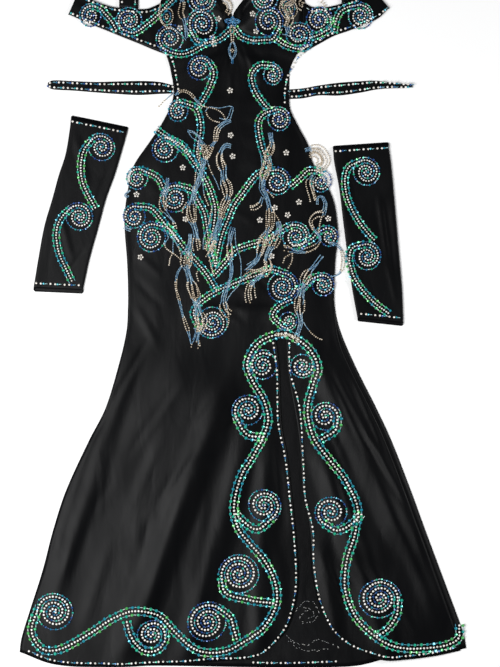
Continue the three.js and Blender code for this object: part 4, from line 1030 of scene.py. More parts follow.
def unit_bead(g: Graph, form: BeadForm) -> bpy.types.NodeSocket:
    """A bead of unit size in a geometry tree.

    Args:
        g: The tree.
        form: How the bead is cut.

    Returns:
        The socket that puts out its mesh.
    """
    if form is BeadForm.TUBE:
        made = g.node("GeometryNodeMeshCylinder", {"Vertices": 5, "Side Segments": 1, "Radius": 0.5, "Depth": 1.0},
                      fill_type="TRIANGLE_FAN")
    else:
        segments, rings = (6, 4) if form is BeadForm.CUT else (8, 5)
        made = g.node("GeometryNodeMeshUVSphere", {"Segments": segments, "Rings": rings, "Radius": 0.5})
    return made.outputs["Mesh"]


@cache
def bead_run_tree(form: BeadForm) -> tuple[bpy.types.GeometryNodeTree, dict[str, str]]:
    """The node tree that threads one form of bead along bare lines.

    Args:
        form: The bead's form.

    Returns:
        The tree, and the identifier of each of its inputs by name.
    """
    g = Graph(bpy.data.node_groups.new(f"bead_run_{form.value}", "GeometryNodeTree"))
    keys = g.sockets((
        ("Geometry", "Geometry", None), ("Pitch", "Float", 0.005), ("Cycle", "Int", 1), ("First Place", "Int", 0),
        ("Second Place", "Int", 0), ("Length", "Float", 0.004), ("Width", "Float", 0.004),
        ("Unevenness", "Float", 0.08), ("Wander", "Float", 0.0003), ("Seed", "Int", SEED),
        ("Finish", "Material", None)))
    g.sockets((("Geometry", "Geometry", None),), into=False)
    inputs = g.node("NodeGroupInput").outputs
    seed = inputs["Seed"]
    shaded = g.node("GeometryNodeSetShadeSmooth", {
        "Geometry": unit_bead(g, form), "Shade Smooth": form is not BeadForm.CUT})
    curve = g.node("GeometryNodeMeshToCurve", {"Mesh": inputs["Geometry"]}).outputs["Curve"]
    points = g.node("GeometryNodeCurveToPoints", {"Curve": curve, "Length": inputs["Pitch"]}, mode="LENGTH").outputs
    turn = g.math("MODULO", g.node("GeometryNodeInputIndex").outputs[0], inputs["Cycle"])
    first, second = (g.math("COMPARE", turn, inputs[place], 0.1) for place in ("First Place", "Second Place"))
    uneven = inputs["Unevenness"]
    size = g.random("FLOAT", g.math("SUBTRACT", 1.0, uneven), g.math("ADD", 1.0, uneven), seed)
    across = g.math("MULTIPLY", inputs["Width"], size)
    scale = g.node("ShaderNodeCombineXYZ", {"X": across, "Y": across, "Z": inputs["Length"]})
    tilt = g.random("FLOAT_VECTOR", (-0.12, -0.12, -3.0), (0.12, 0.12, 3.0), seed)
    twist = g.node("FunctionNodeEulerToRotation", {"Euler": tilt}).outputs[0]
    aligned = g.node("FunctionNodeRotateRotation", {"Rotation": points["Rotation"], "Rotate By": twist},
                     rotation_space="LOCAL")
    drift = g.random("FLOAT_VECTOR", (-1, -1, -0.3), (1, 1, 0.3), seed)
    shift = g.node("ShaderNodeVectorMath", {0: drift, "Scale": inputs["Wander"]}, operation="SCALE")
    moved = g.node("GeometryNodeSetPosition", {"Geometry": points["Points"], "Offset": shift.outputs[0]})
    placed = g.node("GeometryNodeInstanceOnPoints", {
        "Points": moved.outputs[0], "Selection": g.math("MAXIMUM", first, second), "Instance": shaded.outputs[0],
        "Rotation": aligned.outputs[0], "Scale": scale.outputs[0]})
    stored = g.node("GeometryNodeStoreNamedAttribute", {"Geometry": placed.outputs[0], "Name": "tint"},
                    data_type="FLOAT", domain="INSTANCE")
    value = next(s for s in stored.inputs if s.name == "Value" and s.enabled)
    g.tree.links.new(g.random("FLOAT", 0.0, 1.0, seed), value)
    real = g.node("GeometryNodeRealizeInstances", {"Geometry": stored.outputs[0]})
    painted = g.node("GeometryNodeSetMaterial", {"Geometry": real.outputs[0], "Material": inputs["Finish"]})
    g.node("NodeGroupOutput", {"Geometry": painted.outputs[0]})
    return g.tree, keys


def grown(name: str, lines: bpy.types.Object, tree: bpy.types.NodeTree, values: dict[str, object]) -> bpy.types.Object:
    """Runs a geometry tree over bare lines and keeps what it makes as a plain mesh.

    Args:
        name: The new object's name.
        lines: A mesh of bare lines.
        tree: The geometry tree.
        values: The value of each of its inputs, by identifier.

    Returns:
        The new object.
    """
    worked = lines.copy()
    bpy.context.scene.collection.objects.link(worked)
    run = worked.modifiers.new("beads", "NODES")
    run.node_group = tree
    for key, value in values.items():
        run[key] = value
    graph = bpy.context.evaluated_depsgraph_get()
    mesh = bpy.data.meshes.new_from_object(worked.evaluated_get(graph), preserve_all_data_layers=True, depsgraph=graph)
    made = linked(name, mesh)
    bpy.data.objects.remove(worked)
    return made


def run_of(bead: Bead, lines: bpy.types.Object, pitch: float, cycle: int, places: tuple[int, int],
           seed: int) -> bpy.types.Object:
    """Threads one kind of bead along lines and returns it as a plain mesh.

    Args:
        bead: The bead.
        lines: A mesh of bare lines.
        pitch: The distance between places, in millimetres.
        cycle: After how many places the pattern repeats.
        places: The bead's two places in the cycle.
        seed: Fixes what is random.

    Returns:
        A new object with the beads.
    """
    tree, keys = bead_run_tree(bead.form)
    values = {"Pitch": pitch * MM, "Cycle": cycle, "First Place": places[0], "Second Place": places[1],
              "Length": bead.length * MM, "Width": bead.width * MM, "Wander": bead.wander * MM, "Seed": seed,
              "Finish": bead.finish.material()}
    return grown(f"{lines.name}_{bead.name}", lines, tree, {keys[label]: value for label, value in values.items()})


def joined(name: str, parts: Sequence[bpy.types.Object]) -> bpy.types.Object:
    """Joins meshes into one piece.

    Args:
        name: The piece's name.
        parts: What it is made of.

    Returns:
        The piece.
    """
    first = parts[0]
    if len(parts) > 1:
        with bpy.context.temp_override(active_object=first, object=first, selected_objects=list(parts),
                                       selected_editable_objects=list(parts)):
            bpy.ops.object.join()
    first.name = name
    first.data.name = name
    return first


def registered(piece: bpy.types.Object) -> bpy.types.Object:
    """Rides a piece on the part's one body, reports it and returns it."""
    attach(piece, "root")
    LOG.info("%s: %d faces", piece.name, len(piece.data.polygons))
    return piece


class Ground:
    """What beads and strings lie on: the upper surfaces of the pieces made so far."""

    LOOK_FROM = 0.3
    FLOOR_LIFT = 1.3

    def __init__(self, pieces: Iterable[bpy.types.Object]) -> None:
        """Reads the pieces as they are with their modifiers.

        Args:
            pieces: The carriers.
        """
        graph = bpy.context.evaluated_depsgraph_get()
        points, faces, start = [], [], 0
        for piece in pieces:
            mesh = piece.evaluated_get(graph).to_mesh()
            co = np.empty(len(mesh.vertices) * 3)
            mesh.vertices.foreach_get("co", co)
            points.append(co.reshape(-1, 3))
            faces += [[start + v for v in face.vertices] for face in mesh.polygons]
            start += len(mesh.vertices)
            piece.evaluated_get(graph).to_mesh_clear()
        self.tree = BVHTree.FromPolygons(np.vstack(points).tolist(), faces)

    def lay(self, line: np.ndarray, lift: float) -> np.ndarray:
        """Lays a plan line on the surface.

        Args:
            line: Plan places in millimetres.
            lift: How far above the surface its points lie, along the surface's normal.

        Returns:
            The line in space.
        """
        laid = np.empty((len(line), 3))
        for i, (x, y) in enumerate(line[:, :2]):
            hit, normal, _, _ = self.tree.ray_cast(Vector((x * MM, y * MM, self.LOOK_FROM)), Vector((0, 0, -1)))
            if hit is None:
                laid[i] = (x, y, lift + self.FLOOR_LIFT)
                continue
            if normal.z < 0:
                normal = -normal
            laid[i] = np.array(hit) / MM + np.array(normal) * lift
        return laid


def soften(line: np.ndarray, reach: int, lift: bool = True) -> np.ndarray:
    """Evens out a string's heights, as a string bridges small hollows.

    Args:
        line: The string's points.
        reach: How many points to each side count.
        lift: Whether it never goes below its own points.

    Returns:
        The softened line.
    """
    heights = line[:, 2]
    padded = np.pad(heights, reach, mode="edge")
    peak = np.max([padded[i : i + len(heights)] for i in range(2 * reach + 1)], axis=0) if lift else heights
    padded = np.pad(peak, reach, mode="edge")
    mean = np.mean([padded[i : i + len(heights)] for i in range(2 * reach + 1)], axis=0)
    result = line.copy()
    result[:, 2] = np.maximum(mean, heights) if lift else mean
    return result


@dataclass
class Beadwork:
    """The beads sewn to one part of the costume."""

    name: str
    slot: str = "bead_strings"
    lift: float = 2.2
    fine: bool = False
    rows: dict[RowKind, list[np.ndarray]] = field(default_factory=dict)
    seed: int = SEED
    small_radius: float = 24.5
    closer: float = 0.6
    heart: float = 2.2

    def row(self, kind: RowKind, line: np.ndarray) -> None:
        """Adds one row of beads along a plan line or a line in space."""
        if len(line) > 1:
            self.rows.setdefault(kind, []).append(line)

    def stem(self, places: Sequence[Place]) -> None:
        """Adds a stem: a row of pearls with crystals and bugles along both sides."""
        line = smooth_path(places)
        self.pearls(line)
        self.sides(line)

    def pearls(self, line: np.ndarray) -> None:
        """Adds the row of pearls along the middle of a stem."""
        self.row(RowKind.FINE_PEARLS if self.fine else RowKind.PEARLS, line)

    def sides(self, line: np.ndarray) -> None:
        """Adds the crystals and bugles along both sides of a stem."""
        aside = 6.2 if self.fine else 7.1
        for side in (-aside, aside):
            self.row(RowKind.FINE_SIDE if self.fine else RowKind.SIDE, beside(line, side))

    def scroll(self, scroll: Scroll) -> None:
        """Adds a spiral with its stem.

        Args:
            scroll: Where it sits, how large it is and how it winds.
        """
        rng = np.random.default_rng(int(abs(scroll.x * 31 + scroll.y)))
        row = (5.4 if self.fine else 6.0) - self.closer * (scroll.radius < self.small_radius)
        ring = scroll.radius + 0.6 - row
        outer = ring + row / 2
        sign = scroll.turn.value
        centre = np.array((scroll.x, scroll.y))
        if scroll.stem:
            near = np.array(scroll.stem[0], float) - centre
            reach = max(float(np.linalg.norm(near)), ring + 0.1)
            entry = math.atan2(near[1], near[0]) + sign * math.acos(ring / reach)
        else:
            entry = rng.uniform(0, math.tau)
        axis = np.array((math.cos(entry), math.sin(entry)))
        cross = np.array((-axis[1], axis[0]))
        middle = centre - axis * row / 2
        turns = (outer - self.heart) / (2 * row)
        angle = np.linspace(0, turns * math.tau, max(24, int(turns * 48)))
        radius = outer - 2 * row * angle / math.tau
        squash = rng.uniform(0.93, 1.02)

        def at(r: np.ndarray, a: np.ndarray) -> np.ndarray:
            """Places on the spiral, from their distances to its middle and their angles."""
            along, aside = r * np.cos(a), sign * r * np.sin(a) * squash
            return middle + along[:, None] * axis + aside[:, None] * cross

        spiral = at(radius, angle)
        stem = smooth_path([*reversed(scroll.stem), tuple(spiral[0])]) if scroll.stem else spiral[:1]
        self.pearls(even_steps(np.vstack([stem, spiral[1:]]), LINE_STEP))
        self.row(RowKind.COIL, even_steps(at(radius - row, angle)[: int(len(angle) * 0.85)], LINE_STEP))
        rim = np.linspace(0.25, math.tau * 1.02, 60)
        rim_radius = np.maximum(outer + row - 2 * row * rim / math.tau, ring + row - 0.6)
        self.row(RowKind.COIL, even_steps(at(rim_radius, rim), LINE_STEP))
        if scroll.stem:
            self.sides(stem)

    def oval(self, kind: RowKind, x: float, y: float, wide: float, long: float) -> None:
        """Adds a closed oval of beads."""
        a = np.linspace(0, math.tau, 40)
        self.row(kind, even_steps(np.column_stack([x + wide * np.cos(a), y + long * np.sin(a)]), 2.0))

    def build(self, ground: Ground) -> bpy.types.Object:
        """Threads the beads and makes one piece of them.

        Args:
            ground: What they are sewn to.

        Returns:
            The piece.
        """
        parts = []
        for number, (kind, lines) in enumerate(self.rows.items()):
            pitch, cycle, beads = kind.value
            points, edges, start = [], [], 0
            for line in lines:
                laid = ground.lay(line, self.lift) if line.shape[1] == 2 else line
                points.append(laid)
                edges += [(start + i, start + i + 1) for i in range(len(laid) - 1)]
                start += len(laid)
            carrier = new_object(f"{self.name}_{kind.name.lower()}", np.vstack(points), edges)
            for bead, first, second in beads:
                parts.append(run_of(bead, carrier, pitch, cycle, (first, second), self.seed + number))
            bpy.data.objects.remove(carrier)
        return registered(joined(self.name, parts))


@dataclass
class Cloth:
    """Common steps of the cloth pieces."""

    shape: DressShape
    finish: ClothFinish = SATIN

    def dress(self, piece: bpy.types.Object, node: str, slot: str = "black_satin") -> bpy.types.Object:
        """Gives a piece its material and puts it in its node's place.

        Args:
            piece: The piece.
            node: The node that it stands for.
            slot: Its material slot; not used.

        Returns:
            The piece.
        """
        piece.data.materials.append(self.finish.material())
        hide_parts(node)
        return registered(piece)

    def sheet(self, name: str, node: str, rows: Sequence[np.ndarray], faces: Sequence[Sequence[int]],
              **cut: object) -> bpy.types.Object:
        """Args:
            name: The piece's name.
            node: The node that it stands for.
            rows: The points of its middle surface, row by row.
            faces: The corners of each face.
            **cut: Its flat size, how it is held and what it rests on; not used.

        Returns:
            The piece.
        """
        points = np.vstack(rows)
        piece = new_object(name, points, faces)
        thicken(piece, CLOTH)
        self.dress(piece, node)
        return piece


@dataclass
class FrontPanel(Cloth):
    """The front from the underbust seam to the hem, with its flared slit and soft folds."""

    left_columns: int = 64
    right_columns: int = 40
    blend_rows: int = 5
    row_step: float = 7.5

    def rows(self) -> tuple[list[np.ndarray], int]:
        """The lattice's rows from the top to the hem.

        Returns:
            The rows, and the first one below which the slit is open.
        """
        shape = self.shape
        columns = self.left_columns + 1 + self.right_columns
        share = np.arange(columns + 1) / columns
        left, right = float(shape.left(SLIT_TOP)), shape.seam_side(SLIT_TOP)
        slit = [(float(edge(SLIT_TOP)) - left) / (right - left) for edge in (shape.slit_left, shape.slit_right)]
        at_slit = np.r_[np.linspace(0, slit[0], self.left_columns + 1), np.linspace(slit[1], 1, self.right_columns + 1)]
        rows = []
        for depth in np.linspace(0, TOP_DEPTH, 10):
            left, right = float(shape.left(497 - depth)), shape.seam_side(494 - depth) - 1
            x = left + (right - left) * share
            y = shape.top_edge(x) - depth
            rows.append((x, y, np.full_like(x, depth), left, right))
        last = rows[-1]
        left, right = float(shape.left(WAIST_LEVEL)), shape.seam_side(WAIST_LEVEL)
        goal = left + (right - left) * self.body_share(WAIST_LEVEL, share, at_slit)
        for k in range(1, self.blend_rows + 1):
            t = k / self.blend_rows
            x = last[0] * (1 - t) + goal * t
            y = last[1] * (1 - t) + WAIST_LEVEL * t
            rows.append((x, y, np.full_like(y, TOP_DEPTH + 40 * t), x[0], x[-1]))
        levels = np.arange(WAIST_LEVEL - self.row_step, SLIT_TOP + self.row_step / 2, -self.row_step)
        for y in [*levels.tolist(), SLIT_TOP]:
            left, right = float(shape.left(y)), shape.seam_side(y)
            x = left + (right - left) * self.body_share(y, share, at_slit)
            rows.append((x, np.full_like(x, y), np.full_like(x, 100), left, right))
        open_row = len(rows) - 1
        for level in np.linspace(SLIT_TOP, HEM_LEVEL, round((SLIT_TOP - HEM_LEVEL) / self.row_step) + 1)[1:]:
            left, right = float(shape.left(level)), shape.seam_side(level)
            x = np.r_[
                np.linspace(left, float(shape.slit_left(level)), self.left_columns + 1),
                np.linspace(float(shape.slit_right(level)), right, self.right_columns + 1),
            ]
            y = level + (shape.front_hem(x) - HEM_LEVEL) * smoothstep(-level, -SLIT_TOP, -HEM_LEVEL) ** 2
            rows.append((x, y, np.full_like(x, 100), left, right))
        return [np.column_stack([x, y, shape.front_height(x, y, d, a, b)]) for x, y, d, a, b in rows], open_row

    def body_share(self, y: float, share: np.ndarray, at_slit: np.ndarray) -> np.ndarray:
        """How the columns gather towards the slit's top between the waist and the slit."""
        t = 1 - float(smoothstep(y, SLIT_TOP, 300))
        return share * (1 - t) + at_slit * t

    def build(self) -> bpy.types.Object:
        """Builds the front."""
        rows, open_row = self.rows()
        faces = lattice_faces(len(rows), len(rows[0]), gap=(open_row, self.left_columns))
        return self.sheet("cloth_front", "front_panel", rows, faces,
                          flat=(0.87, 1.24), held="laid", rests_on=["back_skirt"])


@dataclass
class BackSkirt(Cloth):
    """The back from its low waist to the hem, flat under the front."""

    columns: int = 60
    levels: int = 120
    dip: float = 26

    def build(self) -> bpy.types.Object:
        """Builds the back."""
        shape = self.shape
        rows = []
        for level in np.linspace(BACK_TOP, HEM_LEVEL, self.levels):
            left, right = float(shape.left(level)), float(shape.right(level))
            x = np.linspace(left, right, self.columns + 1)
            middle = (left + right) / 2
            bow = np.cos((x - middle) / (right - middle) * math.pi / 2)
            dip = self.dip * bow * smoothstep(level, BACK_TOP - 120, BACK_TOP)
            y = level - dip + (shape.back_hem(x) - HEM_LEVEL) * smoothstep(-level, 300, -HEM_LEVEL) ** 2
            inside = smoothstep(x - shape.slit_left(level), 6, 22) * smoothstep(shape.slit_right(level) - x, 6, 22)
            rise = 0.5 * inside * (1 + np.sin(y / 11 + x / 17) * np.sin(x / 13))
            rows.append(np.column_stack([x, y, CLOTH / 2 + np.where(level < -120, rise, 0)]))
        return self.sheet("cloth_back", "back_skirt", rows, lattice_faces(len(rows), self.columns + 1),
                          flat=(0.87, 1.08), held="laid")


@dataclass
class Cup(Cloth):
    """A moulded foam cup under satin, with its flat seam allowance."""

    mirrored: bool = False
    finish: ClothFinish = CUP_SATIN
    x: float = -92
    y: float = 582
    radius: float = 59
    height: float = 33
    foam: float = 4
    columns: int = 72

    def build(self) -> bpy.types.Object:
        """Builds the cup."""
        closed = smooth_path([CUP_OUTLINE[-1], *CUP_OUTLINE, CUP_OUTLINE[0]], 1.0)
        angle = np.unwrap(np.arctan2(closed[:, 1] - self.y, closed[:, 0] - self.x))
        reach = np.hypot(closed[:, 0] - self.x, closed[:, 1] - self.y)
        order = np.argsort(angle % math.tau)
        at = np.linspace(0, math.tau, self.columns, endpoint=False)
        edge = np.interp(at, (angle % math.tau)[order], reach[order], period=math.tau)
        over, under = [], []
        for share in [*np.linspace(0.0, 0.9, 24), 0.95, 1.0]:
            r = edge * share
            over.append(self.ring(at, r, CLOTH + self.height * self.dome(r, edge)))
            inner = np.maximum((self.height + CLOTH - self.foam) * self.dome(r + self.foam, edge), 0)
            under.append(self.ring(at, r, np.where(r < self.radius - self.foam, inner, 0)))
        faces = closed_faces(len(over), self.columns, True)
        name = "cup_satin_right" if self.mirrored else "cup_satin_left"
        piece = new_object(name, np.vstack([*over, *under]), faces)
        plain_normals(piece)
        self.dress(piece, "cup_right" if self.mirrored else "cup_left", "cup_cloth")
        return piece

    def dome(self, r: np.ndarray, edge: np.ndarray) -> np.ndarray:
        """The dome's share of its height at a distance from its middle, eased into the allowance."""
        raw = [np.cos(np.clip((r + d) / self.radius, -1, 1) * math.pi / 2) for d in (-5, -2.5, 0, 2.5, 5)]
        wide = np.cos(np.clip(r / np.maximum(edge - 13, self.radius), -1, 1) * math.pi / 2)
        return 0.65 * np.mean(raw, axis=0) + 0.35 * wide * smoothstep(edge - 13 - r, -1, 6)

    def ring(self, at: np.ndarray, r: np.ndarray, z: np.ndarray) -> np.ndarray:
        """One ring of the cup, put on its own side."""
        x, y = self.x + r * np.cos(at), self.y + r * np.sin(at)
        if self.mirrored:
            y = y + 8 * smoothstep(np.abs(x - CENTRE_FRONT), 10, 60)
            x = 2 * CENTRE_FRONT - x
        return np.column_stack([x, y, z])


@dataclass
class ArmBand(Cloth):
    """An off-the-shoulder band: a ring of cloth pressed flat, folded at its outer end."""

    name: str = "arm_band_left"
    lines: Sequence[Sequence[float]] = ARM_BAND_LEFT
    loft: float = 2.5
    steps: int = 44
    across: int = 16

    def ends(self, s: float) -> np.ndarray:
        """The top and the low end of the crosswise line at a place along the band, 0 to 1."""
        index = range(len(self.lines))
        place = s * (len(self.lines) - 1)
        return np.array([SmoothTable(index, [row[k] for row in self.lines])(place) for k in range(4)])

    def line(self, s: float, z: float, reach: float) -> np.ndarray:
        """One crosswise line of points."""
        top_x, top_y, low_x, low_y = self.ends(s)
        outward = math.copysign(1, self.lines[-1][0] - self.lines[0][0])
        t = np.linspace(0, 1, self.across + 1)
        return np.column_stack([top_x + (low_x - top_x) * t + outward * reach, top_y + (low_y - top_y) * t,
                                np.full_like(t, z)])

    def build(self) -> bpy.types.Object:
        """Builds the band."""
        height = LAYER + self.loft
        turn = height / 2
        drawn_in = turn + CLOTH
        near = []
        for s in np.linspace(0, 1, self.steps):
            line = self.line(s, 0, -drawn_in * float(smoothstep(s, 0.8, 1)))
            x, y = line[:, 0], line[:, 1]
            crease = 0.7 * np.sin(x / 15 + y / 21) * np.sin(y / 13 - x / 40) + 0.4 * np.sin(x / 8 + y / 11)
            inside = np.sin(np.linspace(0, 1, len(x)) * math.pi) * float(smoothstep(s, 0.1, 0.3))
            rise = LAYER + self.loft * float(smoothstep(s, 0, 1)) + CLOTH / 2
            line[:, 2] = rise + np.maximum(crease, -0.4) * inside
            near.append(line)
        top_z = height + CLOTH / 2
        middle = CLOTH / 2 + turn
        end = [self.line(1, middle + (top_z - middle) * math.cos(a), turn * math.sin(a) - drawn_in)
               for a in np.linspace(0, math.pi, 9)[1:-1]]
        far = [self.line(s, CLOTH / 2, -drawn_in * float(smoothstep(s, 0.8, 1))) for s in np.linspace(1, 1 / 7, 34)]
        rows = [*near, *end, *far]
        return self.sheet(f"cloth_{self.name}", self.name, rows, lattice_faces(len(rows), self.across + 1),
                          flat=(0.36, 0.105), held="folded")

    def edge(self, t: float, start: float, end: float) -> np.ndarray:
        """A plan line along the band at a share of its width, for a row of beads."""
        places = []
        for s in np.linspace(start, end, 30):
            top_x, top_y, low_x, low_y = self.ends(s)
            places.append((top_x + (low_x - top_x) * t, top_y + (low_y - top_y) * t))
        return smooth_path(places)


@dataclass
class ShoulderStrap(Cloth):
    """A strap from the arm band to the top of the shoulder, folded under itself there."""

    name: str = "shoulder_strap_left"
    band: Sequence[Sequence[float]] = ARM_BAND_LEFT
    low: float = -241
    high: float = -204
    columns: int = 9

    def start(self, x: float) -> float:
        """Where the strap leaves the band."""
        rows = sorted((row[0], row[1]) for row in self.band)
        return float(np.interp(x, [r[0] for r in rows], [r[1] for r in rows])) + 2 * SEAM

    def build(self) -> bpy.types.Object:
        """Builds the strap."""
        turn = LAYER / 2
        top = STRAP_TOP - turn - CLOTH / 2
        across = np.linspace(self.low, self.high, self.columns)
        near_z = LAYER + CLOTH / 2 + 1.25
        rows = []
        for t in np.linspace(0, 1, 20):
            z = near_z + (LAYER + CLOTH / 2 - near_z) * t
            bow = 0.5 * np.sin(np.linspace(0, math.pi, self.columns)) * math.sin(t * 9) ** 2
            rows.append(np.array([(x, self.start(x) + (top - self.start(x)) * t, z + b)
                                  for x, b in zip(across, bow)]))
        for a in np.linspace(0, math.pi, 7)[1:-1]:
            y, z = top + turn * math.sin(a), CLOTH / 2 + turn * (1 + math.cos(a))
            rows.append(np.array([(x, y, z) for x in across]))
        for t in np.linspace(1, 0, 14):
            rows.append(np.array([(x, self.start(x) + (top - self.start(x)) * t, CLOTH / 2) for x in across]))
        return self.sheet(f"cloth_{self.name}", self.name, rows, lattice_faces(len(rows), self.columns),
                          flat=(0.038, 0.216), held="folded")


@dataclass
class WaistStrap(Cloth):
    """A strap that closes round the waist at the back; the right one is rolled thin at its end."""

    name: str = "waist_strap_left"
    lines: Sequence[Sequence[float]] = WAIST_STRAP_LEFT

    def build(self) -> bpy.types.Object:
        """Builds the strap."""
        top, low, thick = (column(self.lines, 0, k) for k in (1, 2, 3))
        across = np.linspace(0, 1, 13)
        over, under = [], []
        for x in np.linspace(self.lines[0][0], self.lines[-1][0], 80):
            y = top(x) + (low(x) - top(x)) * across
            ripple = 0.25 * np.sin(x / 9 + across * 5) * np.sin(across * math.pi)
            bulge = thick(x) * (1 - 0.75 * np.abs(2 * across - 1) ** 5) + ripple
            over.append(np.column_stack([np.full_like(y, x), y, bulge]))
            under.append(np.column_stack([np.full_like(y, x), y, np.zeros_like(y)]))
        points = np.vstack([*over, *under])
        piece = new_object(f"cloth_{self.name}", points, closed_faces(len(over), 13, False))
        plain_normals(piece)
        self.dress(piece, self.name)
        return piece

    def rows_of_trim(self) -> list[np.ndarray]:
        """Two plan lines along the strap, one near each edge."""
        top, low = column(self.lines, 0, 1), column(self.lines, 0, 2)
        x = np.linspace(self.lines[0][0], self.lines[-1][0], 60)
        return [np.column_stack([x, top(x) + (low(x) - top(x)) * t]) for t in (0.24, 0.76)]


@dataclass
class Gauntlet(Cloth):
    """A tube for the forearm, pressed flat, with its far layer peeping out at both ends."""

    name: str = "gauntlet_left"
    sides: Sequence[Sequence[float]] = GAUNTLET_LEFT
    top_slant: float = -22
    wrist_slant: float = -4
    back_top: float = 5
    back_wrist: float = 7
    creases: Sequence[Sequence[float]] = GAUNTLET_LEFT_CREASES
    loft: float = 2.6
    rows: int = 76
    across: int = 26

    def near_y(self, u: float, v: float) -> float:
        """The level of a place on the near layer."""
        top, wrist = self.sides[0][0], self.sides[-1][0]
        return top + (wrist - top) * v + (self.top_slant + (self.wrist_slant - self.top_slant) * v) * u

    def near_x(self, u: float, y: float) -> float:
        """Where a place on the near layer lies across."""
        left, right = column(self.sides, 0, 1), column(self.sides, 0, 2)
        margin = (LAYER + self.loft) / 2 + CLOTH / 2
        return float(left(y)) + margin + (float(right(y)) - float(left(y)) - 2 * margin) * u

    def build(self) -> bpy.types.Object:
        """Builds the gauntlet."""
        near_height = LAYER + self.loft
        turn = near_height / 2
        flat = np.linspace(0, 1, self.across + 1)

        def fold(u: int, side: int, start: float, end: float) -> list[tuple[float, float, float, float]]:
            """The section's points round one of its two folds."""
            return [(u, turn + turn * math.cos(a), a / math.pi, side * turn * math.sin(a))
                    for a in np.linspace(start, end, 7)[1:-1]]

        section = [(u, near_height, 0.0, 0.0) for u in flat] + fold(1, 1, 0, math.pi)
        section += [(u, 0.0, 1.0, 0.0) for u in flat[::-1]] + fold(0, -1, math.pi, 0)
        lattice = []
        for v in np.linspace(0, 1, self.rows):
            line = []
            for u, z, far, reach in section:
                peep = far * (self.back_top + (-self.back_wrist - self.back_top) * v)
                y = self.near_y(u, v) + peep
                dip = 1.3 * math.sin(math.pi * u) * math.sin(5 * v) ** 2 if far == 0 else 0
                line.append((self.near_x(u, y) + reach, y, z - dip + CLOTH / 2))
            line = np.array(line)
            near = slice(0, self.across + 1)
            inside = np.sin(flat * math.pi) ** 0.5
            line[near, 2] += self.shape.ridges(line[near, 0], line[near, 1], self.creases, 0.3) * inside
            line[near, 2] = np.maximum(line[near, 2], LAYER + CLOTH / 2)
            lattice.append(line)
        length = (self.sides[0][0] - self.sides[-1][0] + self.back_top + self.back_wrist + 22) * MM
        return self.sheet(f"cloth_{self.name}", self.name, lattice,
                          lattice_faces(len(lattice), len(section), joined=True),
                          flat=(0.24, round(length, 3)), held="folded")

    def cuffs(self) -> list[np.ndarray]:
        """Plan lines of the bead trims at both ends."""
        lines = []
        for v in (0.022, 0.972):
            places = [(u, self.near_y(u, v)) for u in np.linspace(0.02, 0.98, 9)]
            lines.append(smooth_path([(self.near_x(u, y), y) for u, y in places]))
        return lines


@dataclass
class Fringe:
    """The bead strings that lie over the beadwork: twisted close where seeds run, spread where pearls do."""

    ground: Ground
    lift: float = 1.2
    pearl_spread: float = 3.9
    seed_spread: float = 1.9

    def strands(self, strings: Strings, work: Beadwork, rng: np.random.Generator) -> None:
        """Lays one group of strands and sorts them into stretches of seeds and of pearls.

        Args:
            strings: The group.
            work: The piece that takes its rows.
            rng: Fixes what is uneven.
        """
        middle = smooth_path(strings.route, 1.0)
        t = np.linspace(0, 1, len(middle))
        spread = np.full(len(middle), self.seed_spread)
        for low, high in strings.pearls:
            inside = smoothstep(t, low - 0.04, low + 0.02) * (1 - smoothstep(t, high - 0.02, high + 0.04))
            spread = np.maximum(spread, self.seed_spread + (self.pearl_spread - self.seed_spread) * inside)
        along = np.gradient(middle, axis=0)
        along /= np.linalg.norm(along, axis=1, keepdims=True)
        aside = np.column_stack([-along[:, 1], along[:, 0]])
        places = rng.permutation(strings.strands) - (strings.strands - 1) / 2
        length = len(middle)
        for k in range(strings.strands):
            sway = sum(rng.uniform(0.2, 0.9) * np.sin(t * length / w + rng.uniform(0, math.tau)) for w in (9, 17, 31))
            cross = 0.55 * np.sin(t * length / 26 + rng.uniform(0, math.tau)) * (strings.strands > 2)
            offset = (places[k] + cross) * spread + sway
            line = middle + aside * offset[:, None]
            stop = max(8, int(length * (1 - rng.uniform(0, 0.07) * (strings.strands > 1))))
            laid = soften(self.ground.lay(line[:stop], self.lift + 0.5 * k), 3)
            pearl = np.zeros(len(laid), bool)
            for low, high in strings.pearls:
                first, last = low + rng.uniform(-0.03, 0.015), high + rng.uniform(-0.015, 0.03)
                pearl |= (t[:stop] >= first) & (t[:stop] <= last)
            self.split(work, laid, pearl)

    def split(self, work: Beadwork, laid: np.ndarray, pearl: np.ndarray) -> None:
        """Cuts a strand where seeds and pearls change over.

        Args:
            work: What takes the stretches.
            laid: The strand's points.
            pearl: Where it carries pearls.
        """
        cuts = [0, *(np.flatnonzero(np.diff(pearl.astype(int))) + 1).tolist(), len(laid)]
        for a, b in zip(cuts, cuts[1:]):
            if b - a > 3:
                kind = RowKind.STRUNG if pearl[a] else RowKind.SEEDS
                work.row(kind, laid[a + 1 : b] if a else laid[a:b])

    def build(self) -> list[bpy.types.Object]:
        """Builds every bundle, and the stray strings."""
        made = []
        for number, (bundle, groups) in enumerate(FRINGE.items()):
            work = Beadwork(f"strings_{bundle}", seed=SEED + number)
            rng = np.random.default_rng(SEED * 31 + number)
            for strings in groups:
                self.strands(strings, work, rng)
            piece = work.build(self.ground)
            if bundle != STRAY:
                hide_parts(f"fringe_{bundle}")
            made.append(piece)
        return made


# The loops of the bow: reach, direction, half width
BOW_LOOPS = (
    (16, 0.1, 4.6), (14, 0.1, 2), (17, 3.0, 4.6), (15, 3.0, 2), (10, 1.5, 4.2), (8, 1.5, 1.8), (12, -0.8, 3.2),
    (12, 3.95, 3.2),
)
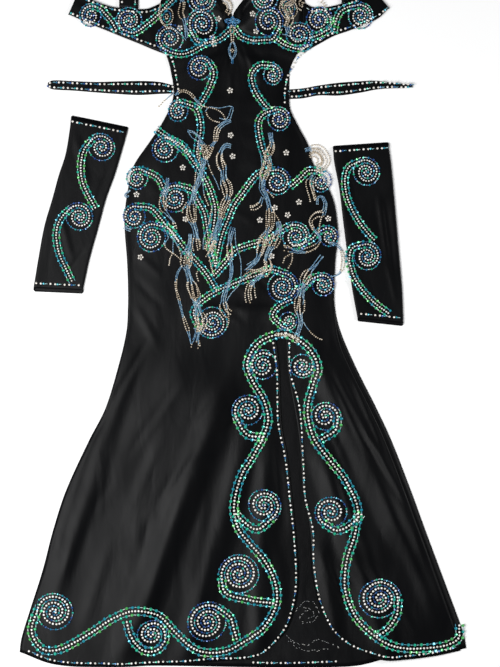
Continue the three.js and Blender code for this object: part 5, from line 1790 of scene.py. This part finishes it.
# The strings of one side of the ornament: kind, lift, and places as a share of the half width and a level
DROP_STRINGS = (
    (RowKind.STRUNG, 2.6, ((1, 556), (1.2, 540), (0.8, 524))),
    (RowKind.SEEDS, 2.4, ((1, 524), (3.2, 514), (3.6, 506), (3, 498), (0.5, 490))),
    (RowKind.SEEDS, 2.4, ((0.4, 524), (2.1, 514), (2.4, 506), (1.8, 499), (0.3, 492))),
)


@dataclass
class CentreDrop:
    """The blue bow at the centre front with its stem, ring and tip."""

    ground: Ground
    knot_level: float = 563
    half_width: float = 2.2
    ring_level: float = 507
    ring_radius: float = 2.8

    def build(self) -> bpy.types.Object:
        """Builds the ornament from strings of beads."""
        work = Beadwork("centre_bow", slot="blue_beads")
        cx, cy = CENTRE_FRONT, self.knot_level

        def lay(places: Sequence[Place], lift: float) -> np.ndarray:
            """Lays a string of the ornament over what lies there."""
            return soften(self.ground.lay(smooth_path(places, 1.0), lift), 4)

        for reach, angle, wide in BOW_LOOPS:
            tip = (cx + reach * math.cos(angle), cy + reach * math.sin(angle))
            side = (-math.sin(angle) * wide, math.cos(angle) * wide)
            mid = (cx + 0.4 * (tip[0] - cx), cy + 0.4 * (tip[1] - cy))
            loop = ((cx, cy), (mid[0] + side[0], mid[1] + side[1]), tip, (mid[0] - side[0], mid[1] - side[1]), (cx, cy))
            work.row(RowKind.BOW, lay(loop, 3.0))
        turn = np.linspace(0, math.tau, 24)
        ring = zip(cx + self.ring_radius * np.cos(turn), self.ring_level + self.ring_radius * np.sin(turn))
        work.row(RowKind.STRUNG, lay(list(ring), 1.8))
        for dx in (-self.half_width, self.half_width):
            for kind, lift, places in DROP_STRINGS:
                work.row(kind, lay([(cx + dx * share, level) for share, level in places], lift))
        for side in (-1, 1):
            work.row(RowKind.BOW, lay(((cx + 1.2 * side, 491), (cx + side, 482)), 2.4))
        piece = work.build(self.ground)
        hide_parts("centre_drop")
        return piece


def flower_tree() -> tuple[bpy.types.GeometryNodeTree, dict[str, str]]:
    """The node tree that sews a five-petalled flower of silver beads at each point.

    Returns:
        The tree, and the identifier of each of its inputs by name.
    """
    g = Graph(bpy.data.node_groups.new("sewn_flowers", "GeometryNodeTree"))
    keys = g.sockets((
        ("Geometry", "Geometry", None), ("Petals", "Int", 5), ("Petal Size", "Float", 0.0044),
        ("Ring Radius", "Float", 0.0041), ("Seed", "Int", SEED), ("Finish", "Material", None)))
    g.sockets((("Geometry", "Geometry", None),), into=False)
    inputs = g.node("NodeGroupInput").outputs
    bead = unit_bead(g, BeadForm.ROUND)
    ring = g.node("GeometryNodeMeshCircle", {"Vertices": inputs["Petals"], "Radius": inputs["Ring Radius"]})
    petals = g.node("GeometryNodeInstanceOnPoints", {
        "Points": ring.outputs[0], "Instance": bead, "Scale": inputs["Petal Size"]})
    heart_size = g.math("MULTIPLY", inputs["Petal Size"], 0.6)
    size = g.node("ShaderNodeCombineXYZ", {"X": heart_size, "Y": heart_size, "Z": heart_size})
    heart = g.node("GeometryNodeTransform", {"Geometry": bead, "Scale": size.outputs[0]})
    whole = g.node("GeometryNodeJoinGeometry")
    for part in (petals, heart):
        g.tree.links.new(part.outputs[0], whole.inputs[0])
    spin = g.random("FLOAT_VECTOR", (-0.08, -0.08, 0), (0.08, 0.08, 6.28), inputs["Seed"])
    placed = g.node("GeometryNodeInstanceOnPoints", {
        "Points": inputs["Geometry"], "Instance": whole.outputs[0], "Rotation": spin})
    real = g.node("GeometryNodeRealizeInstances", {"Geometry": placed.outputs[0]})
    smooth = g.node("GeometryNodeSetShadeSmooth", {"Geometry": real.outputs[0]})
    painted = g.node("GeometryNodeSetMaterial", {"Geometry": smooth.outputs[0], "Material": inputs["Finish"]})
    g.node("NodeGroupOutput", {"Geometry": painted.outputs[0]})
    return g.tree, keys


def sewn_flowers(ground: Ground) -> bpy.types.Object:
    """Sews the silver flowers to the cloth.

    Args:
        ground: The cloth.

    Returns:
        The piece.
    """
    tree, keys = flower_tree()
    laid = ground.lay(np.array(FLOWERS, float), 1.9)
    carrier = new_object("flower_places", laid, [(i, i + 1) for i in range(len(laid) - 1)])
    piece = grown("silver_flowers", carrier, tree, {keys["Finish"]: PEARL_FINISH.material()})
    bpy.data.objects.remove(carrier)
    return registered(piece)


@dataclass
class Studio:
    """The pale floor, the soft light and the camera straight above."""

    camera_height: float = 3.2
    view_height: float = 1.3
    view_middle: Place = (0.01365, -0.0437)
    sensor: float = 36
    floor_reach: float = 4000
    floor_level: float = -0.2

    def build(self) -> None:
        """Sets the stage."""
        self.floor()
        self.light("soft_window", (-1.3, -0.5, 2.0), 1.8, 80)
        self.light("far_side", (2.4, 0.4, 1.2), 1.0, 32)
        world = bpy.data.worlds.new("pale_room")
        bpy.context.scene.world = world
        world.use_nodes = True
        sky = world.node_tree.nodes["Background"].inputs
        sky["Color"].default_value = (0.97, 0.985, 1.0, 1)
        sky["Strength"].default_value = 0.13
        lens = bpy.data.cameras.new("overhead")
        lens.lens = self.sensor * self.camera_height / self.view_height
        lens.clip_end = 50
        camera = linked("overhead", lens)
        camera.location = (*self.view_middle, self.camera_height)
        bpy.context.scene.camera = camera
        bpy.context.scene.view_settings.view_transform = "Standard"

    def floor(self) -> None:
        """The pale floor under the costume."""
        corners = [(x * self.floor_reach, y * self.floor_reach, self.floor_level)
                   for x, y in ((-1, -1), (1, -1), (1, 1), (-1, 1))]
        floor = new_object("pale_floor", np.array(corners, float), [[0, 1, 2, 3]])
        paper = bpy.data.materials.new("white_paper")
        paper.use_nodes = True
        shader = paper.node_tree.nodes["Principled BSDF"]
        for name, value in (("Base Color", (0.95, 0.95, 0.95, 1)), ("Roughness", 0.9), ("Specular IOR Level", 0.1)):
            shader.inputs[name].default_value = value
        floor.data.materials.append(paper)

    def light(self, name: str, place: tuple[float, float, float], size: float, power: float) -> None:
        """One soft square light that looks at the costume.

        Args:
            name: Its name.
            place: Where it hangs, in metres.
            size: Its side, in metres.
            power: Its power in watts.
        """
        lamp = bpy.data.lights.new(name, "AREA")
        lamp.size = size
        lamp.energy = power
        hung = linked(name, lamp)
        hung.location = place
        hung.rotation_euler = (-Vector(place)).to_track_quat("-Z", "Y").to_euler()


def beadwork_of(name: str, scrolls: Sequence[Scroll], stems: Sequence[Route] = (),
                trims: Sequence[np.ndarray] = ()) -> Beadwork:
    """Collects the rows of one part of the costume.

    Args:
        name: The piece's name.
        scrolls: Its spirals.
        stems: Its stems that end in no spiral.
        trims: Its single rows along edges.

    Returns:
        The rows, ready to be threaded.
    """
    work = Beadwork(name, fine="skirt" not in name, seed=SEED + len(name))
    for scroll in scrolls:
        work.scroll(scroll)
    for stem in stems:
        work.stem(stem)
    for line in trims:
        work.row(RowKind.TRIM, line)
    return work


def main() -> None:
    """Builds the costume, piece by piece, and sets the stage."""
    Studio().build()
    shape = DressShape()
    back = BackSkirt(shape).build()
    front = FrontPanel(shape).build()
    cups = [Cup(shape, mirrored=side).build() for side in (False, True)]
    band_left = ArmBand(shape)
    band_right = ArmBand(shape, name="arm_band_right", lines=ARM_BAND_RIGHT)
    bands = [band.build() for band in (band_left, band_right)]
    straps = [
        ShoulderStrap(shape).build(),
        ShoulderStrap(shape, name="shoulder_strap_right", band=ARM_BAND_RIGHT, low=192, high=229).build(),
    ]
    waist_left = WaistStrap(shape)
    waist_right = WaistStrap(shape, name="waist_strap_right", lines=WAIST_STRAP_RIGHT)
    waists = [waist.build() for waist in (waist_left, waist_right)]
    gauntlet_left = Gauntlet(shape)
    gauntlet_right = Gauntlet(
        shape, name="gauntlet_right", sides=GAUNTLET_RIGHT, top_slant=7, wrist_slant=-9, back_top=4, back_wrist=6,
        creases=GAUNTLET_RIGHT_CREASES)
    gauntlets = [gauntlet.build() for gauntlet in (gauntlet_left, gauntlet_right)]
    cloth = Ground([back, front, *cups, *bands, *straps, *waists, *gauntlets])
    side_trims = [
        smooth_path([(float(shape.left(y)) + 9, y) for y in np.linspace(494, 402, 12)]),
        smooth_path(RIGHT_SIDE_TRIM),
    ]
    band_trims = [
        band.edge(share, start, 0.97)
        for band in (band_left, band_right) for share, start in ((0.09, 0.08), (0.9, 0.02))
    ]
    strap_trims = [
        np.array([(x, y) for y in np.linspace(start, 690, 30)])
        for x, start in ((-235, 597), (-210, 597), (198, 607), (223, 616))
    ]
    cups_work = beadwork_of("beads_cups", CUP_SCROLLS)
    for kind, x, y, wide, long in CUP_LEAVES:
        cups_work.oval(kind, x, y, wide, long)
    works = [
        beadwork_of("beads_torso", TORSO_SCROLLS, trims=side_trims),
        beadwork_of("beads_hip_left", HIP_LEFT_SCROLLS, HIP_STEMS),
        beadwork_of("beads_hip_right", HIP_RIGHT_SCROLLS),
        cups_work,
        beadwork_of("beads_bands", BAND_SCROLLS, trims=[*band_trims, *strap_trims]),
        beadwork_of("beads_waist", (), trims=[*waist_left.rows_of_trim(), *waist_right.rows_of_trim()]),
        beadwork_of("beads_gauntlet_left", GAUNTLET_LEFT_SCROLLS, trims=gauntlet_left.cuffs()),
        beadwork_of("beads_gauntlet_right", GAUNTLET_RIGHT_SCROLLS, trims=gauntlet_right.cuffs()),
        beadwork_of("beads_skirt_left", SKIRT_LEFT_SCROLLS, [SLIT_LEFT_STEM]),
        beadwork_of("beads_skirt_right", SKIRT_RIGHT_SCROLLS, [SLIT_RIGHT_STEM]),
        beadwork_of("beads_edges", (), trims=[smooth_path(line) for line in (*SLIT_EDGES, BACK_HEM_EDGE)]),
    ]
    stitches = Beadwork("back_stitches", lift=0.3)
    for route in BACK_STITCHES:
        stitches.row(RowKind.STITCHES, smooth_path(route))
    works.append(stitches)
    beads = [work.build(cloth) for work in works]
    sewn_flowers(cloth)
    over = Ground([front, *cups, *bands, *waists, *beads])
    CentreDrop(over).build()
    Fringe(over).build()
    bpy.context.view_layer.update()


if __name__ == "__main__":
    main()
